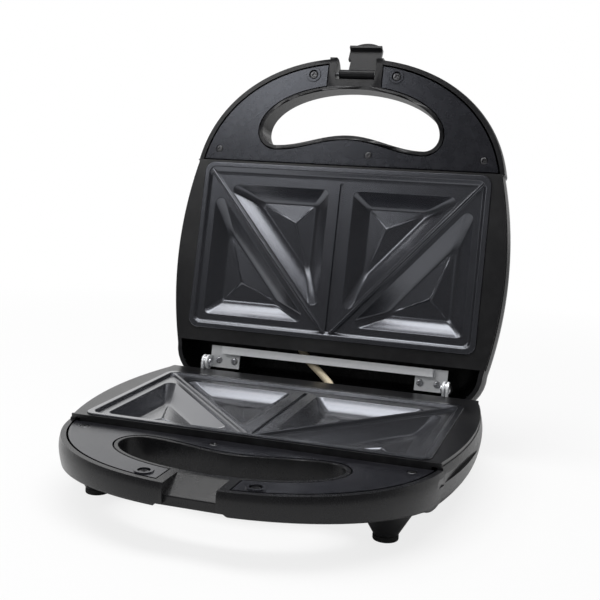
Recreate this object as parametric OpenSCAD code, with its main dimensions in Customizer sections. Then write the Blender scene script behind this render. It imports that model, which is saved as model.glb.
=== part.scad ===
// Sandwich toaster: two hinged casings with cast cooking plates, grip handles and a swing latch.
// Millimetres. X runs across the width, Y from the handle (front) to the hinge (rear), Z up from the floor.
// The lid pieces are drawn closed over the base and turned open about the hinge axis.

/* [Cooking plates] */
// Width of one cooking plate over its raised rim
plate_w = 206; // [196:1:216]
// Depth of one cooking plate over its raised rim
plate_d = 120; // [114:1:126]
// Corner radius of the plate in plan
plate_corner_r = 7; // [4:0.5:10]
// Width of the raised rim round the plate
rim_w = 4; // [3:0.25:6]
// How far the flat land lies below the rim
land_drop = 2; // [1:0.25:3]
// Thickness of the plate's flange from the rim down
flange_t = 5; // [4:0.25:7]
// Depth of a triangular pocket below the land
pocket_depth = 9; // [6:0.5:10]
// Wall left round and under a pocket
pocket_wall = 2.4; // [2:0.1:3]
// Slope of a pocket's walls: run inward for each millimetre of depth
pocket_draft = 0.9; // [0.6:0.05:1]
// Distance from the outer pockets to the plate's side edges
pocket_side = 10.5; // [9.5:0.25:13]
// Distance from the outer pockets to the edge where the ridges meet
pocket_near = 11; // [10:0.5:14]
// Distance from the inner pockets to the far edge
pocket_far = 16; // [14:0.5:18]
// Half width of the flat strip between the two inner pockets
pocket_mid = 9.5; // [8:0.25:11]
// Gap between a ridge and its inner pocket
ridge_gap_in = 3.6; // [3:0.1:5]
// Gap between a ridge and its outer pocket
ridge_gap_out = 5.8; // [4:0.1:6.5]
// Corner radius of a pocket
pocket_corner_r = 4; // [3:0.25:5]
// Height of the cutting ridges above the land
ridge_h = 1.8; // [1:0.1:2]
// Width of the cutting ridges at their foot
ridge_w = 3.4; // [2.5:0.1:4]
// Half distance between the two ridges where they meet the rim
apex_half = 2.2; // [1.8:0.1:3]
// Gap between the two rims when the lid is shut
plate_gap = 0.6; // [0.4:0.1:1.5]

/* [Casing outline] */
// Bulge of the casing sides beyond the plate edge
side_margin = 16; // [14:0.5:19]
// Plan radius of the bulged sides
side_r = 278; // [240:2:320]
// Place of the widest point behind the plate centre
bulge_y = 8; // [4:0.5:12]
// Step in from the widest point to the handle arch
arch_step = 6; // [5:0.5:8]
// Fullness of the handle arch, where 2 is an ellipse
arch_full = 2.15; // [2:0.05:2.4]
// Length of the handle in front of the deck
handle_len = 78.5; // [72:0.5:84]
// Distance from the deck's front edge back to the middle of the arch ellipse
arch_back = 19.5; // [16:0.5:22]
// Gap in plan between the plate edge and the deck's front edge
deck_front_margin = 1.5; // [1:0.25:3]
// Casing wall thickness
wall = 3; // [2.4:0.1:3.4]
// Corner radius at the rear of the casings in plan
rear_corner_r = 26; // [24:1:30]
// Thickness of the deck frames
deck_t = 2.2; // [1.8:0.1:3]
// Clearance in grooves between fitted mouldings
fit_gap = 0.4; // [0.2:0.05:0.6]

/* [Heights] */
// Height of the base plate's rim above the floor
rim_z = 41; // [39:0.5:46]
// How far the rim stands proud of the deck
rim_proud = 1; // [0.5:0.25:2]
// How far the handle covers lie below the rim
handle_drop = 4.5; // [3.5:0.25:6]
// Height of the base's underside above the floor
belly_z = 9.5; // [8.5:0.5:12]
// Height of the lid's top above its rim when shut
lid_h = 37; // [35:0.5:42]
// Depth of the base handle's skirt at the front
skirt_front = 12.5; // [12:0.5:15]
// Depth of the base handle's skirt beside the feet
skirt_rear = 19; // [18:0.5:22]
// Thickness of the lid handle at the front
lid_grip_t = 13; // [12:0.5:15]
// Thickness of the lid handle beside the deck
lid_grip_rear_t = 25; // [22:0.5:27]

/* [Grip holes and latch notch] */
// Half width of the grip hole
grip_half_w = 64; // [58:0.5:66]
// Front edge of the grip hole, measured back from the handle's front
grip_front = 23; // [22:0.5:26]
// Depth of the hole's lobes behind its front edge
grip_depth = 42; // [38:0.5:44]
// Rise of the hole's rear edge in the middle
grip_bow = 9; // [6:0.5:11]
// Width of the moulded lip round the grip hole
grip_lip = 2.6; // [2.2:0.1:3]
// Width of the latch notch
notch_w = 28.6; // [26:0.2:32]
// Depth of the notch back from the handle's front
notch_d = 16; // [14:0.5:17]
// Wall beside the notch
notch_wall = 5; // [4:0.25:6]
// Depth of the base notch's sill below the rim
sill_drop = 11.5; // [9:0.5:12]
// Thickness of the sill that the latch hooks under
sill_t = 4; // [3:0.25:4.5]
// Set-back of the sill from the handle's front
sill_back = 3.6; // [3:0.1:5]
// Room under the sill for the latch hook
hook_room = 3.4; // [3:0.1:4]
// Rise of the skirt's lower edge beside the notch
skirt_rise = 1.8; // [1.2:0.1:2.4]
// Thickness of the handle covers
cover_t = 2; // [1.6:0.1:2.4]

/* [Hinge] */
// Hinge axis behind the plate edge
hinge_back = 24.3; // [22:0.5:27]
// Hinge axis above the base plate's rim
hinge_up = 2.6; // [2:0.1:3.5]
// Angle that the lid opens to
open_angle = 102.5; // [95:0.5:105]
// Half distance between the inner faces of the lid's hinge ears
ear_half = 84; // [80:0.5:88]
// Thickness of the hinge ears
ear_t = 1.5; // [1.2:0.1:2]
// Radius of the hinge ears
ear_r = 5.2; // [4.6:0.1:5.6]
// Thickness of the hinge washers
washer_t = 0.8; // [0.6:0.1:1.2]
// Side play between the moving and the fixed hinge ears
side_play = 0.35; // [0.3:0.05:0.5]
// Radius of the hinge pins
hinge_pin_r = 2; // [1.6:0.1:2.4]
// Running clearance of the hinge and latch pins, on the radius
running_gap = 0.06; // [0.03:0.01:0.1]
// Width of the long hinge crossbar
bar_w = 5.5; // [4.5:0.25:6.5]
// Overhang of the lid's hood behind the hinge axis
hood_back = 14.7; // [14:0.25:17]
// Drop of the base's rear shelf below the rim
shelf_drop = 19; // [18:0.5:22]

/* [Latch] */
// Latch pivot behind the handle's front
latch_in = 11; // [10:0.25:12]
// Latch pivot above the lid's handle cover
latch_up = 6.5; // [6:0.25:7.5]
// Radius of the latch barrel
barrel_r = 3.4; // [3:0.1:3.8]
// Radius of the latch pin
latch_pin_r = 1.2; // [1:0.1:1.4]
// Width of the latch arm
arm_w = 20; // [17:0.5:22]
// Width of the finger tab
tab_w = 24; // [22:0.5:26]
// Thickness of the latch arm
arm_t = 3; // [2.6:0.1:3.4]
// Length of the finger tab beyond the hook
tab_len = 6; // [5:0.5:8]
// Angle of the latch away from its hooked place
latch_open = 110; // [100:1:112]

/* [Side recesses and vents] */
// Middle of the side recess behind the plate centre
slot_y = -25; // [-30:1:-15]
// Depth of the side recess
slot_depth = 2; // [1.5:0.1:2.2]
// Height of the side recess
slot_h = 4.5; // [3:0.25:6]
// Distance between the vents in the belly
vent_pitch = 11; // [9:0.5:13]
// Width of a vent
vent_w = 3.2; // [2:0.2:4]
// Half length of a vent
vent_half = 22; // [16:1:28]

/* [Feet] */
// Half distance between the feet across the width
foot_x = 84.5; // [80:0.5:88]
// Distance of the front feet in front of the deck's front edge
foot_front_gap = 13.5; // [9:0.5:17]
// Distance of the rear feet in front of the base's rear edge
foot_rear_gap = 25; // [21:0.5:31]
// Radius of a foot's rubber tip
tip_r = 6.9; // [6:0.1:8]
// Height of a foot's rubber tip
tip_h = 3; // [2.5:0.25:4]
// Widening of the foot cones for each millimetre of height
cone_slope = 0.58; // [0.4:0.02:0.62]

/* [Heating and wiring] */
// Radius of the tubular heating elements
element_r = 3.2; // [3:0.1:3.5]
// Half distance between the long runs of an element
element_run = 28; // [24:1:32]
// Half length of the straight runs of an element
element_len = 52; // [46:1:60]
// Thickness of the reflector sheets
sheet_t = 0.8; // [0.6:0.1:1]
// Gap between an element and its reflector
reflector_gap = 2; // [1.5:0.25:2.5]
// Radius of the wiring sleeve
sleeve_r = 2.8; // [2.4:0.1:3.2]
// Place of the sleeve's hole in the base, across the width
sleeve_x = 8; // [4:0.5:12]

/* [Fasteners] */
// Radius of the large cover screws
big_screw_r = 1.7; // [1.5:0.1:2]
// Radius of the small cover screws
small_screw_r = 1.3; // [1.1:0.1:1.5]
// Length of the cover screws
screw_len = 9; // [8:0.5:10]
// Length of the short screws in the feet and the hinge
short_screw_len = 8; // [6:0.5:9]
// Half distance between the large cover screws
big_screw_x = 30; // [28:0.5:34]
// Offset of the middle cover screw from the centre line
mid_screw_x = 15.5; // [12:0.5:18]

/* [Hidden] */

// Place of the plate centre behind the origin, which is under the middle of the open toaster
plates_y = -12.9;
$fn = 48;

// Plan sizes, all measured from the plate centre
body_half_w = plate_w / 2 + side_margin;
arch_half_w = body_half_w - arch_step;
deck_front_y = -plate_d / 2 - deck_front_margin;
handle_front_y = deck_front_y - handle_len;
arch_y = deck_front_y + arch_back;
arch_reach = arch_y - handle_front_y;
hinge_y = plate_d / 2 + hinge_back;
hinge_z = rim_z + hinge_up;
base_deck_rear_y = hinge_y - ear_r - 0.3;
lid_deck_rear_y = base_deck_rear_y - 9.5;
lid_rear_y = hinge_y + hood_back;
base_rear_y = lid_rear_y - 2;
base_wall_y = base_deck_rear_y - 1;
edge_inset = 1.8;
edge_fall = 8;
cover_inset = wall + edge_inset * (1 - (handle_drop - rim_proud) / edge_fall) + fit_gap;
cover_rear_y = deck_front_y - 1.6;
side_steps = 9;
arch_steps = 32;
corner_steps = 5;

// Heights
deck_z = rim_z - rim_proud;
cover_z = rim_z - handle_drop;
shelf_z = rim_z - shelf_drop;
lid_rim_z = rim_z + plate_gap;
lid_deck_z = lid_rim_z + rim_proud;
lid_cover_z = lid_rim_z + handle_drop;
lid_top_z = lid_rim_z + lid_h;
skirt_front_z = cover_z - skirt_front;
skirt_rear_z = cover_z - skirt_rear;
pocket_floor = land_drop + pocket_depth;
pocket_base = pocket_floor + pocket_wall;

// Side profiles of the casings: height and how far the outline is drawn in there
base_profile = [[deck_z + 2, edge_inset + 0.4], [deck_z, edge_inset], [deck_z - edge_fall, 0],
    [deck_z - 16, 0.6], [deck_z - 23, 2.8], [belly_z + 2.5, 7.4], [belly_z, 14]];
lid_profile = [[lid_deck_z - 2, edge_inset + 0.4], [lid_deck_z, edge_inset],
    [lid_deck_z + edge_fall, 0], [lid_deck_z + 18, 1],
    [lid_deck_z + 26, 3.8], [lid_top_z - 3.5, 10], [lid_top_z, 20]];

function side_x(y, inset = 0) =
    body_half_w - side_r + sqrt(pow(side_r - inset, 2) - pow(y - bulge_y, 2));
function arc_points(cx, cy, r, a0, a1, steps) =
    [for (i = [0:steps]) let (a = a0 + (a1 - a0) * i / steps) [cx + r * cos(a), cy + r * sin(a)]];
function side_points(rear_y, inset) =
    let (y0 = rear_y - rear_corner_r)
    let (y1 = deck_front_y + 1.5)
    [for (i = [1:side_steps]) let (y = y0 + (y1 - y0) * i / side_steps) [side_x(y, inset), y]];
function arch_points(inset) =
    let (a0 = asin(pow(arch_back / arch_reach, arch_full / 2)))
    [for (i = [0:arch_steps]) let (a = a0 + (180 - 2 * a0) * i / arch_steps)
        [(arch_half_w - inset) * sign(cos(a)) * pow(abs(cos(a)), 2 / arch_full),
            arch_y - (arch_reach - inset) * pow(sin(a), 2 / arch_full)]];
function mirrored(points) = [for (i = [len(points) - 1:-1:0]) [-points[i][0], points[i][1]]];

// Plan outline of a casing, drawn in by an inset
function outline(rear_y, inset) =
    let (corner_y = rear_y - rear_corner_r)
    let (corner_x = side_x(corner_y) - rear_corner_r)
    let (corner = arc_points(corner_x, corner_y, rear_corner_r - inset, 90, 0, corner_steps))
    let (side = side_points(rear_y, inset))
    concat(corner, side, arch_points(inset), mirrored(side), mirrored(corner));

// Grip hole: an elliptic front edge, round lobes and a bowed rear edge
grip_front_y = handle_front_y + grip_front;
lobe_r = 10.5;
lobe_y = grip_front_y + grip_depth - lobe_r;
lobe_x = grip_half_w - lobe_r;
function grip_points(grow) = concat(
    [for (i = [0:24]) let (a = 180 + 180 * i / 24)
        [(grip_half_w + grow) * cos(a), lobe_y + (lobe_y - grip_front_y + grow) * sin(a)]],
    [for (i = [1:7]) let (a = 90 * i / 8)
        [lobe_x + (lobe_r + grow) * cos(a), lobe_y + (lobe_r + grow) * sin(a)]],
    [for (i = [0:16]) let (t = 1 - i / 8)
        [lobe_x * t, lobe_y + lobe_r + grow - grip_bow * (1 + cos(180 * t)) / 2]],
    [for (i = [7:-1:1]) let (a = 90 * i / 8)
        [-lobe_x - (lobe_r + grow) * cos(a), lobe_y + (lobe_r + grow) * sin(a)]]);

// Cover screws: place in plan and whether the screw is a large one
big_screw_y = handle_front_y + (grip_front + cover_inset) / 2 - 0.3;
end_screw_x = arch_half_w - 17.4;
small_screw_y = cover_rear_y - 7.5;
function cover_screw_places(side) = [[-big_screw_x, big_screw_y, true], [big_screw_x, big_screw_y, true],
    [-end_screw_x, small_screw_y, false], [end_screw_x, small_screw_y, false],
    [side * mid_screw_x, small_screw_y, false]];

// Moves a piece from plate coordinates to the origin
module placed() {
    translate([0, plates_y, 0]) children();
}

// Moves a closed lid piece to the open pose
module lid_placed() {
    placed() translate([0, hinge_y, hinge_z]) rotate([-open_angle, 0, 0])
        translate([0, -hinge_y, -hinge_z]) children();
}

// Turns a piece drawn for the base over into the lid
module turned_over() {
    translate([0, 0, rim_z + lid_rim_z]) rotate([0, 180, 0]) children();
}

// A prism along X from a list of [y, z] points
module yz_prism(points, half_w) {
    rotate([90, 0, 90]) translate([0, 0, -half_w]) linear_extrude(height = 2 * half_w) polygon(points);
}

// A box given by its low and high corners
module span(low, high) {
    translate(low) cube(high - low);
}

// The full rounded body of a casing, from a side profile
module casing_body(profile, rear_y, inset) {
    hull() {
        for (level = profile) {
            translate([0, 0, level[0]]) linear_extrude(height = 0.02)
                polygon(outline(rear_y, level[1] + inset));
        }
    }
}

// Rounded rectangle in plan
module rounded_rect(w, d, r) {
    square([w - 2 * r, d], center = true);
    square([w, d - 2 * r], center = true);
    for (x = [-1, 1]) {
        for (y = [-1, 1]) {
            translate([x * (w / 2 - r), y * (d / 2 - r)]) circle(r = r);
        }
    }
}

// Plan area of the handle cover
module cover_area() {
    difference() {
        intersection() {
            polygon(outline(lid_rear_y, cover_inset));
            translate([-body_half_w, handle_front_y - 1])
                square([2 * body_half_w, cover_rear_y - handle_front_y + 1]);
        }
        polygon(grip_points(grip_lip + fit_gap));
        translate([-notch_w / 2 - notch_wall - fit_gap, handle_front_y - 1])
            square([notch_w + 2 * notch_wall + 2 * fit_gap, grip_front]);
    }
}

// Cross recess of a Phillips screw, cut down from z = 0
module cross_recess(r) {
    for (turn = [0, 90]) {
        rotate([0, 0, turn]) translate([-r * 0.62, -r * 0.16, -r * 0.5]) cube([r * 1.24, r * 0.32, r]);
    }
}

// A screw with its head's top at z = 0, pointing down
module screw(r, length, head_r, head_t) {
    difference() {
        union() {
            translate([0, 0, -length]) cylinder(r = r, h = length - head_t / 2);
            translate([0, 0, -head_t]) cylinder(r = head_r, h = head_t);
        }
        cross_recess(head_r);
    }
}

// Lower edge of the base handle, as a cutting prism raised by some amount
module below_base_handle(raise) {
    yz_prism([[handle_front_y - 5, skirt_front_z + raise], [deck_front_y - 14, skirt_rear_z + raise],
        [deck_front_y + 12, belly_z - 2 + raise], [deck_front_y + 12, -5], [handle_front_y - 5, -5]],
        body_half_w + 5);
}

// Upper surface of the lid's handle, as a cutting prism lowered by some amount
module above_lid_handle(lower) {
    front_z = lid_cover_z + lid_grip_t - lower;
    rear_z = lid_cover_z + lid_grip_rear_t - lower;
    yz_prism([[handle_front_y - 5, lid_cover_z + 1], [handle_front_y - 0.5, lid_cover_z + 2],
        [handle_front_y + 2, front_z - 4], [handle_front_y + 7, front_z],
        [deck_front_y - 6, rear_z - 3], [deck_front_y + 4, rear_z + 4],
        [deck_front_y + 12, lid_top_z - 2 - lower], [deck_front_y + 22, lid_top_z + 0.5 - lower],
        [deck_front_y + 22, lid_top_z + 9], [handle_front_y - 5, lid_top_z + 9]], body_half_w + 5);
}

// The four feet's places in plan
foot_front_y = foot_front_gap - deck_front_y;
foot_rear_y = base_rear_y - foot_rear_gap;
foot_places = [[-foot_x, -foot_front_y], [foot_x, -foot_front_y], [-foot_x, foot_rear_y],
    [foot_x, foot_rear_y]];

// Cone that joins a foot to the casing's underside
module foot_cone(place) {
    top = place[1] < 0 ? skirt_rear_z + wall / 2 : belly_z + wall / 2;
    low_r = tip_r - 0.3;
    translate([place[0], place[1], tip_h]) cylinder(r1 = low_r, r2 = low_r + cone_slope * (top - tip_h),
        h = top - tip_h);
}

// Holes for the cover screws
module cover_boss_holes(places, top_z) {
    for (s = places) {
        r = s[2] ? big_screw_r : small_screw_r;
        translate([s[0], s[1], top_z - screw_len - 0.5]) cylinder(r = r, h = screw_len + 1);
    }
}

base_screws = cover_screw_places(-1);
lid_screws = cover_screw_places(1);
boss_top_z = cover_z - cover_t;
lug_t = 2;

// Height at which a boss ends: the small ones carry the deck frame's lugs
module base_bosses() {
    for (s = base_screws) {
        r = s[2] ? big_screw_r : small_screw_r;
        top = s[2] ? boss_top_z : boss_top_z - lug_t;
        translate([s[0], s[1], skirt_rear_z + wall / 2]) cylinder(r = r + 2.2,
            h = top - skirt_rear_z - wall / 2);
    }
}

// Latch sill and notch of the base handle
sill_z = rim_z - sill_drop;
sill_front_y = handle_front_y + sill_back;
notch_back_y = handle_front_y + notch_d;
sill_bottom_z = sill_z - sill_t;
module base_notch() {
    yz_prism([[notch_back_y + 3, cover_z + 0.01], [notch_back_y + 3, cover_z - 0.5],
        [sill_front_y + 1, sill_z], [sill_front_y, sill_z - 0.5], [sill_front_y, -1],
        [handle_front_y - 5, -1], [handle_front_y - 5, cover_z + 3], [notch_back_y + 3, cover_z + 3]],
            notch_w / 2);
    web_y = sill_front_y + hook_room;
    for (y = [[sill_front_y - 1, web_y], [web_y + grip_lip, grip_front_y - grip_lip]]) {
        span([-notch_w / 2, y[0], 0], [notch_w / 2, y[1], sill_bottom_z]);
    }
    rise_half = notch_w / 2 + notch_wall;
    translate([0, web_y, skirt_front_z]) rotate([90, 0, 0]) linear_extrude(web_y - handle_front_y + 1)
        polygon([[-rise_half - skirt_rise, -skirt_rise], [rise_half + skirt_rise, -skirt_rise],
            [rise_half - skirt_rise, skirt_rise], [-rise_half + skirt_rise, skirt_rise]]);
}

// Lower casing with the foot cones, the grip hole and the rear shelf
module base_shell() {
    color("#1d1d20") placed() difference() {
        union() {
            difference() {
                casing_body(base_profile, base_rear_y, 0);
                below_base_handle(0);
                span([-200, -200, cover_z], [200, deck_front_y, 200]);
                span([-200, deck_front_y - 1, deck_z - deck_t], [200, 200, 200]);
                span([-200, base_deck_rear_y, shelf_z], [200, 200, 200]);
                difference() {
                    casing_body(base_profile, base_rear_y, wall);
                    span([-200, -200, 0], [200, 200, belly_z + wall]);
                    below_base_handle(wall);
                    span([-200, base_deck_rear_y - wall, shelf_z - wall], [200, 200, 200]);
                }
            }
            difference() {
                union() {
                    linear_extrude_between(skirt_rear_z + 1, cover_z) {
                        difference() {
                            polygon(grip_points(grip_lip));
                            polygon(grip_points(0));
                        }
                    }
                    span([-notch_w / 2 - notch_wall, handle_front_y + 2.5, skirt_rear_z],
                        [notch_w / 2 + notch_wall, grip_front_y - 0.5, cover_z]);
                    base_bosses();
                }
                below_base_handle(wall / 2);
            }
            for (f = foot_places) {
                foot_cone(f);
            }
            span([gland_x - 9, gland_back_y, belly_z + 1],
                [gland_x + 9, gland_face_y, shelf_z - wall / 2]);
        }
        base_notch();
        linear_extrude_between(0, cover_z + 1) {
            polygon(grip_points(0));
        }
        cover_boss_holes(base_screws, boss_top_z);
        for (f = foot_places) {
            translate([f[0], f[1], tip_h - 1]) cylinder(r = small_screw_r, h = 10);
            translate([f[0], f[1], tip_h + 7]) cylinder(r = tip_r - 1, h = skirt_rear_z);
        }
        side_slots();
        base_vents();
        translate([sleeve_x, base_wall_y - 8, sleeve_hole_z]) rotate([-90, 0, 0])
            cylinder(r = sleeve_r + 0.8, h = 20);
        translate([gland_x, gland_back_y - 4, gland_z]) rotate([-90, 0, 0]) cylinder(r = gland_r, h = 40);
        for (x = hinge_screw_xs) {
            translate([x, base_deck_rear_y - 6, bracket_screw_z]) rotate([-90, 0, 0])
                cylinder(r = small_screw_r, h = 12);
        }
    }
}

module linear_extrude_between(low, high) {
    translate([0, 0, low]) linear_extrude(height = high - low) children();
}

// Long lens-shaped recess in each side wall: a flat cut into the bulge
slot_cut = 120;
module side_slots() {
    for (side = [0, 1]) {
        mirror([side, 0, 0]) translate([side_x(slot_y) - slot_depth, slot_y, deck_z - 9])
            rotate([0, 0, -asin((bulge_y - slot_y) / side_r)])
            translate([0, -slot_cut / 2, -slot_h / 2]) cube([slot_depth * 10, slot_cut, slot_h]);
    }
}

// Rows of slots through the belly
module base_vents() {
    for (i = [-5:5]) {
        x = i * vent_pitch;
        span([x - vent_w / 2, -vent_half, belly_z - 1], [x + vent_w / 2, vent_half, belly_z + wall + 1]);
    }
}

// A deck frame: the raised deck with the well that carries the plate
module deck_frame(rear_y, side) {
    opening_w = plate_w + fit_gap;
    opening_d = plate_d + fit_gap;
    difference() {
        union() {
            linear_extrude_between(deck_z - deck_t, deck_z) {
                intersection() {
                    polygon(outline(lid_rear_y, 1.8));
                    translate([-200, deck_front_y]) square([400, rear_y - deck_front_y]);
                }
            }
            linear_extrude_between(well_z - ledge_t, deck_z - deck_t / 2) {
                rounded_rect(opening_w + 3.2, opening_d + 2 * deck_front_margin - fit_gap,
                    plate_corner_r + 1.4);
            }
            linear_extrude_between(cover_z - cover_t - lug_t, deck_z - deck_t / 2) {
                translate([-side_x(deck_front_y) + 6, deck_front_y])
                    square([2 * side_x(deck_front_y) - 12, 2.4]);
            }
            for (s = cover_screw_places(side)) {
                if (!s[2]) {
                    span([s[0] - 5, s[1] - 4.5, boss_top_z - lug_t],
                        [s[0] + 5, deck_front_y + 1, boss_top_z]);
                }
            }
        }
        linear_extrude_between(well_z, deck_z + 1) {
            rounded_rect(opening_w, opening_d, plate_corner_r + fit_gap / 2);
        }
        linear_extrude_between(well_z - 5, deck_z + 1) {
            rounded_rect(plate_w - 12, plate_d - 12, plate_corner_r);
        }
        for (s = cover_screw_places(side)) {
            translate([s[0], s[1], boss_top_z - 5]) cylinder(r = small_screw_r, h = 10);
        }
        for (x = plate_screw_xs) {
            for (y = [-1, 1]) {
                translate([x, y * plate_screw_y, well_z - 5]) cylinder(r = small_screw_r, h = 8);
            }
        }
    }
}

well_z = rim_z - flange_t;
ledge_t = 1.8;
plate_screw_xs = [-plate_w / 4, plate_w / 4];
plate_screw_y = plate_d / 2 - 3.6;
plate_screw_len = 3;
plate_screw_head_r = small_screw_r * 1.6;

module base_deck_frame() {
    color("#161619") placed() deck_frame(base_deck_rear_y, -1);
}

// A handle cover with its screw holes
module handle_cover(side) {
    difference() {
        linear_extrude_between(cover_z - cover_t, cover_z) cover_area();
        for (s = cover_screw_places(side)) {
            r = s[2] ? big_screw_r : small_screw_r;
            translate([s[0], s[1], cover_z - 5]) cylinder(r = r, h = 10);
            translate([s[0], s[1], cover_z - 1]) cylinder(r = r * 1.9 + 0.2, h = 5);
        }
    }
}

module base_handle_cover() {
    color("#26262a") placed() handle_cover(-1);
}

module cover_screws(side) {
    for (s = cover_screw_places(side)) {
        r = s[2] ? big_screw_r : small_screw_r;
        translate([s[0], s[1], cover_z]) screw(r, screw_len, r * 1.9, 1);
    }
}

module base_cover_screws() {
    color("#2b2b2e") placed() cover_screws(-1);
}

// Lines of the ridge pattern; the ridges meet at the front and run to the far corners
far_y = plate_d / 2 - rim_w;
far_x = plate_w / 2 - rim_w;
ridge_slope = 2 * far_y / (far_x - apex_half);
slant = atan(ridge_slope);
function ridge_y(x) = -far_y + ridge_slope * (x - apex_half);
function ridge_x(y) = apex_half + (y + far_y) / ridge_slope;

// Sharp corners of the pocket behind a ridge and of the one outside it
function inner_pocket() = let (y = plate_d / 2 - pocket_far)
    [[pocket_mid, y], [pocket_mid, ridge_y(pocket_mid) + ridge_gap_in / cos(slant)],
        [ridge_x(y) - ridge_gap_in / sin(slant), y]];
function outer_pocket() = let (x = plate_w / 2 - pocket_side) let (y = -plate_d / 2 + pocket_near)
    [[x, y], [x, ridge_y(x) - ridge_gap_out / cos(slant)], [ridge_x(y) + ridge_gap_out / sin(slant), y]];

// Incentre of a triangle, and the triangle shrunk about it by a distance
function side_len(a, b) = norm(a - b);
function incentre(t) = let (a = side_len(t[1], t[2]), b = side_len(t[2], t[0]), c = side_len(t[0], t[1]))
    (a * t[0] + b * t[1] + c * t[2]) / (a + b + c);
function inradius(t) = let (a = side_len(t[1], t[2]), b = side_len(t[2], t[0]), c = side_len(t[0], t[1]))
    abs((t[1][0] - t[0][0]) * (t[2][1] - t[0][1]) - (t[2][0] - t[0][0]) * (t[1][1] - t[0][1])) / (a + b
        + c);
function shrunk(t, by) = let (m = incentre(t), k = 1 - by / inradius(t)) [for (p = t) m + k * (p - m)];

// Outline of a triangle with round corners, grown outward
function normal_angle(a, b) = atan2(a[0] - b[0], b[1] - a[1]);
function round_triangle(t, grow) =
    let (core = shrunk(t, pocket_corner_r))
    [for (i = [0:2])
        let (a0 = normal_angle(core[(i + 2) % 3], core[i]))
        let (a1 = normal_angle(core[i], core[(i + 1) % 3]))
        let (turn = a1 > a0 ? a1 - a0 : a1 - a0 + 360)
        for (k = [0:6]) let (a = a0 + turn * k / 6)
            core[i] + (pocket_corner_r + grow) * [cos(a), sin(a)]];

// A ridge with sloping sides from one point to another
module ridge(from, to) {
    along = to - from;
    translate([from[0], from[1], rim_z - land_drop]) rotate([0, 0, atan2(along[1], along[0])])
        rotate([90, 0, 90]) linear_extrude(height = norm(along))
            polygon([[-ridge_w / 2, -0.5], [ridge_w / 2, -0.5], [ridge_w / 2, 0], [0.4, ridge_h],
                [-0.4, ridge_h],
                [-ridge_w / 2, 0]]);
}

// A pocket with sloping walls below the land, grown outward and downward
module pocket(t, grow, depth) {
    m = incentre(t);
    shrink = 1 - depth * pocket_draft / (inradius(t) + grow);
    translate([m[0], m[1], rim_z - land_drop]) mirror([0, 0, 1])
        linear_extrude(height = depth, scale = shrink)
        translate([-m[0], -m[1]]) polygon(round_triangle(t, grow));
}

// A cast cooking plate
module cooking_plate() {
    difference() {
        union() {
            difference() {
                linear_extrude_between(well_z, rim_z) rounded_rect(plate_w, plate_d, plate_corner_r);
                linear_extrude_between(rim_z - land_drop, rim_z + 1)
                    rounded_rect(plate_w - 2 * rim_w, plate_d - 2 * rim_w, plate_corner_r - 2);
            }
            for (side = [0, 1]) {
                mirror([side, 0, 0]) {
                    for (t = [inner_pocket(), outer_pocket()]) {
                        intersection() {
                            pocket(t, pocket_wall * 1.3, pocket_depth + pocket_wall);
                            translate([0, 0, rim_z - 20 - land_drop - 0.5])
                                cube([2 * plate_w, 2 * plate_d, 40], center = true);
                        }
                    }
                    ridge([apex_half, -far_y + 0.5], [far_x - 1, ridge_y(far_x - 1)]);
                }
            }
        }
        for (side = [0, 1]) {
            mirror([side, 0, 0]) {
                for (t = [inner_pocket(), outer_pocket()]) {
                    translate([0, 0, 0.01]) pocket(t, 0, pocket_depth);
                }
            }
        }
        span([-0.5, -far_y + 2, rim_z - land_drop - 0.6], [0.5, far_y - 1, rim_z]);
        for (x = plate_screw_xs) {
            for (y = [-1, 1]) {
                translate([x, y * plate_screw_y, well_z - 1])
                    cylinder(r = small_screw_r, h = plate_screw_len);
            }
        }
    }
}

module base_cooking_plate() {
    color("#3a3a40") placed() cooking_plate();
}

// Screws that hold a deck frame's ledge to its plate, from below
module plate_screws() {
    for (x = plate_screw_xs) {
        for (y = [-1, 1]) {
            translate([x, y * plate_screw_y, well_z - ledge_t - 1.2]) mirror([0, 0, 1])
                screw(small_screw_r, plate_screw_len + 1.2, plate_screw_head_r, 1.2);
        }
    }
}

module base_plate_screws() {
    color("silver") placed() plate_screws();
}

element_z = rim_z - pocket_base - element_r;
element_tail = 12;

// A tubular element bent to a U, its open end towards -X
module heating_element() {
    for (y = [-1, 1]) {
        translate([-element_len - element_tail, y * element_run, element_z]) rotate([0, 90, 0])
            cylinder(r = element_r, h = 2 * element_len + element_tail);
        translate([-element_len - element_tail - 10, y * element_run, element_z]) rotate([0, 90, 0])
            cylinder(r = element_r / 2, h = 10.5);
    }
    translate([element_len, 0, element_z]) rotate([0, 0, -90])
        rotate_extrude(angle = 180) translate([element_run, 0]) circle(r = element_r);
}

module base_heating_element() {
    color("#6d6a66") placed() heating_element();
}

clamp_xs = [-34, 34];
reflector_z = element_z - element_r - reflector_gap;

// Steel straps across both runs, dished over each run
module element_clamps() {
    top = element_z + element_r;
    low = element_z - element_r;
    for (x = clamp_xs) {
        difference() {
            span([x - 5, -element_run - 9, low - 1.2], [x + 5, element_run + 9, low]);
            translate([x, 0, low - 3]) cylinder(r = small_screw_r, h = 5);
        }
        span([x - 5, -2.5, low], [x + 5, 2.5, top]);
    }
}

module base_element_clamps() {
    color("silver") placed() element_clamps();
}

// Shallow tray that turns the heat back up to the plate
module reflector() {
    w = plate_w - 8;
    d = plate_d - 12.6;
    difference() {
        span([-w / 2, -d / 2, reflector_z - sheet_t], [w / 2, d / 2, well_z - ledge_t]);
        span([-w / 2 + sheet_t, -d / 2 + sheet_t, reflector_z], [w / 2 - sheet_t, d / 2 - sheet_t, rim_z]);
        span([-w / 2 - 1, -element_run - 7, reflector_z], [-w / 2 + 2, element_run + 7, rim_z]);
    }
}

module base_reflector() {
    color("#b9bcc0") placed() reflector();
}

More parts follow.
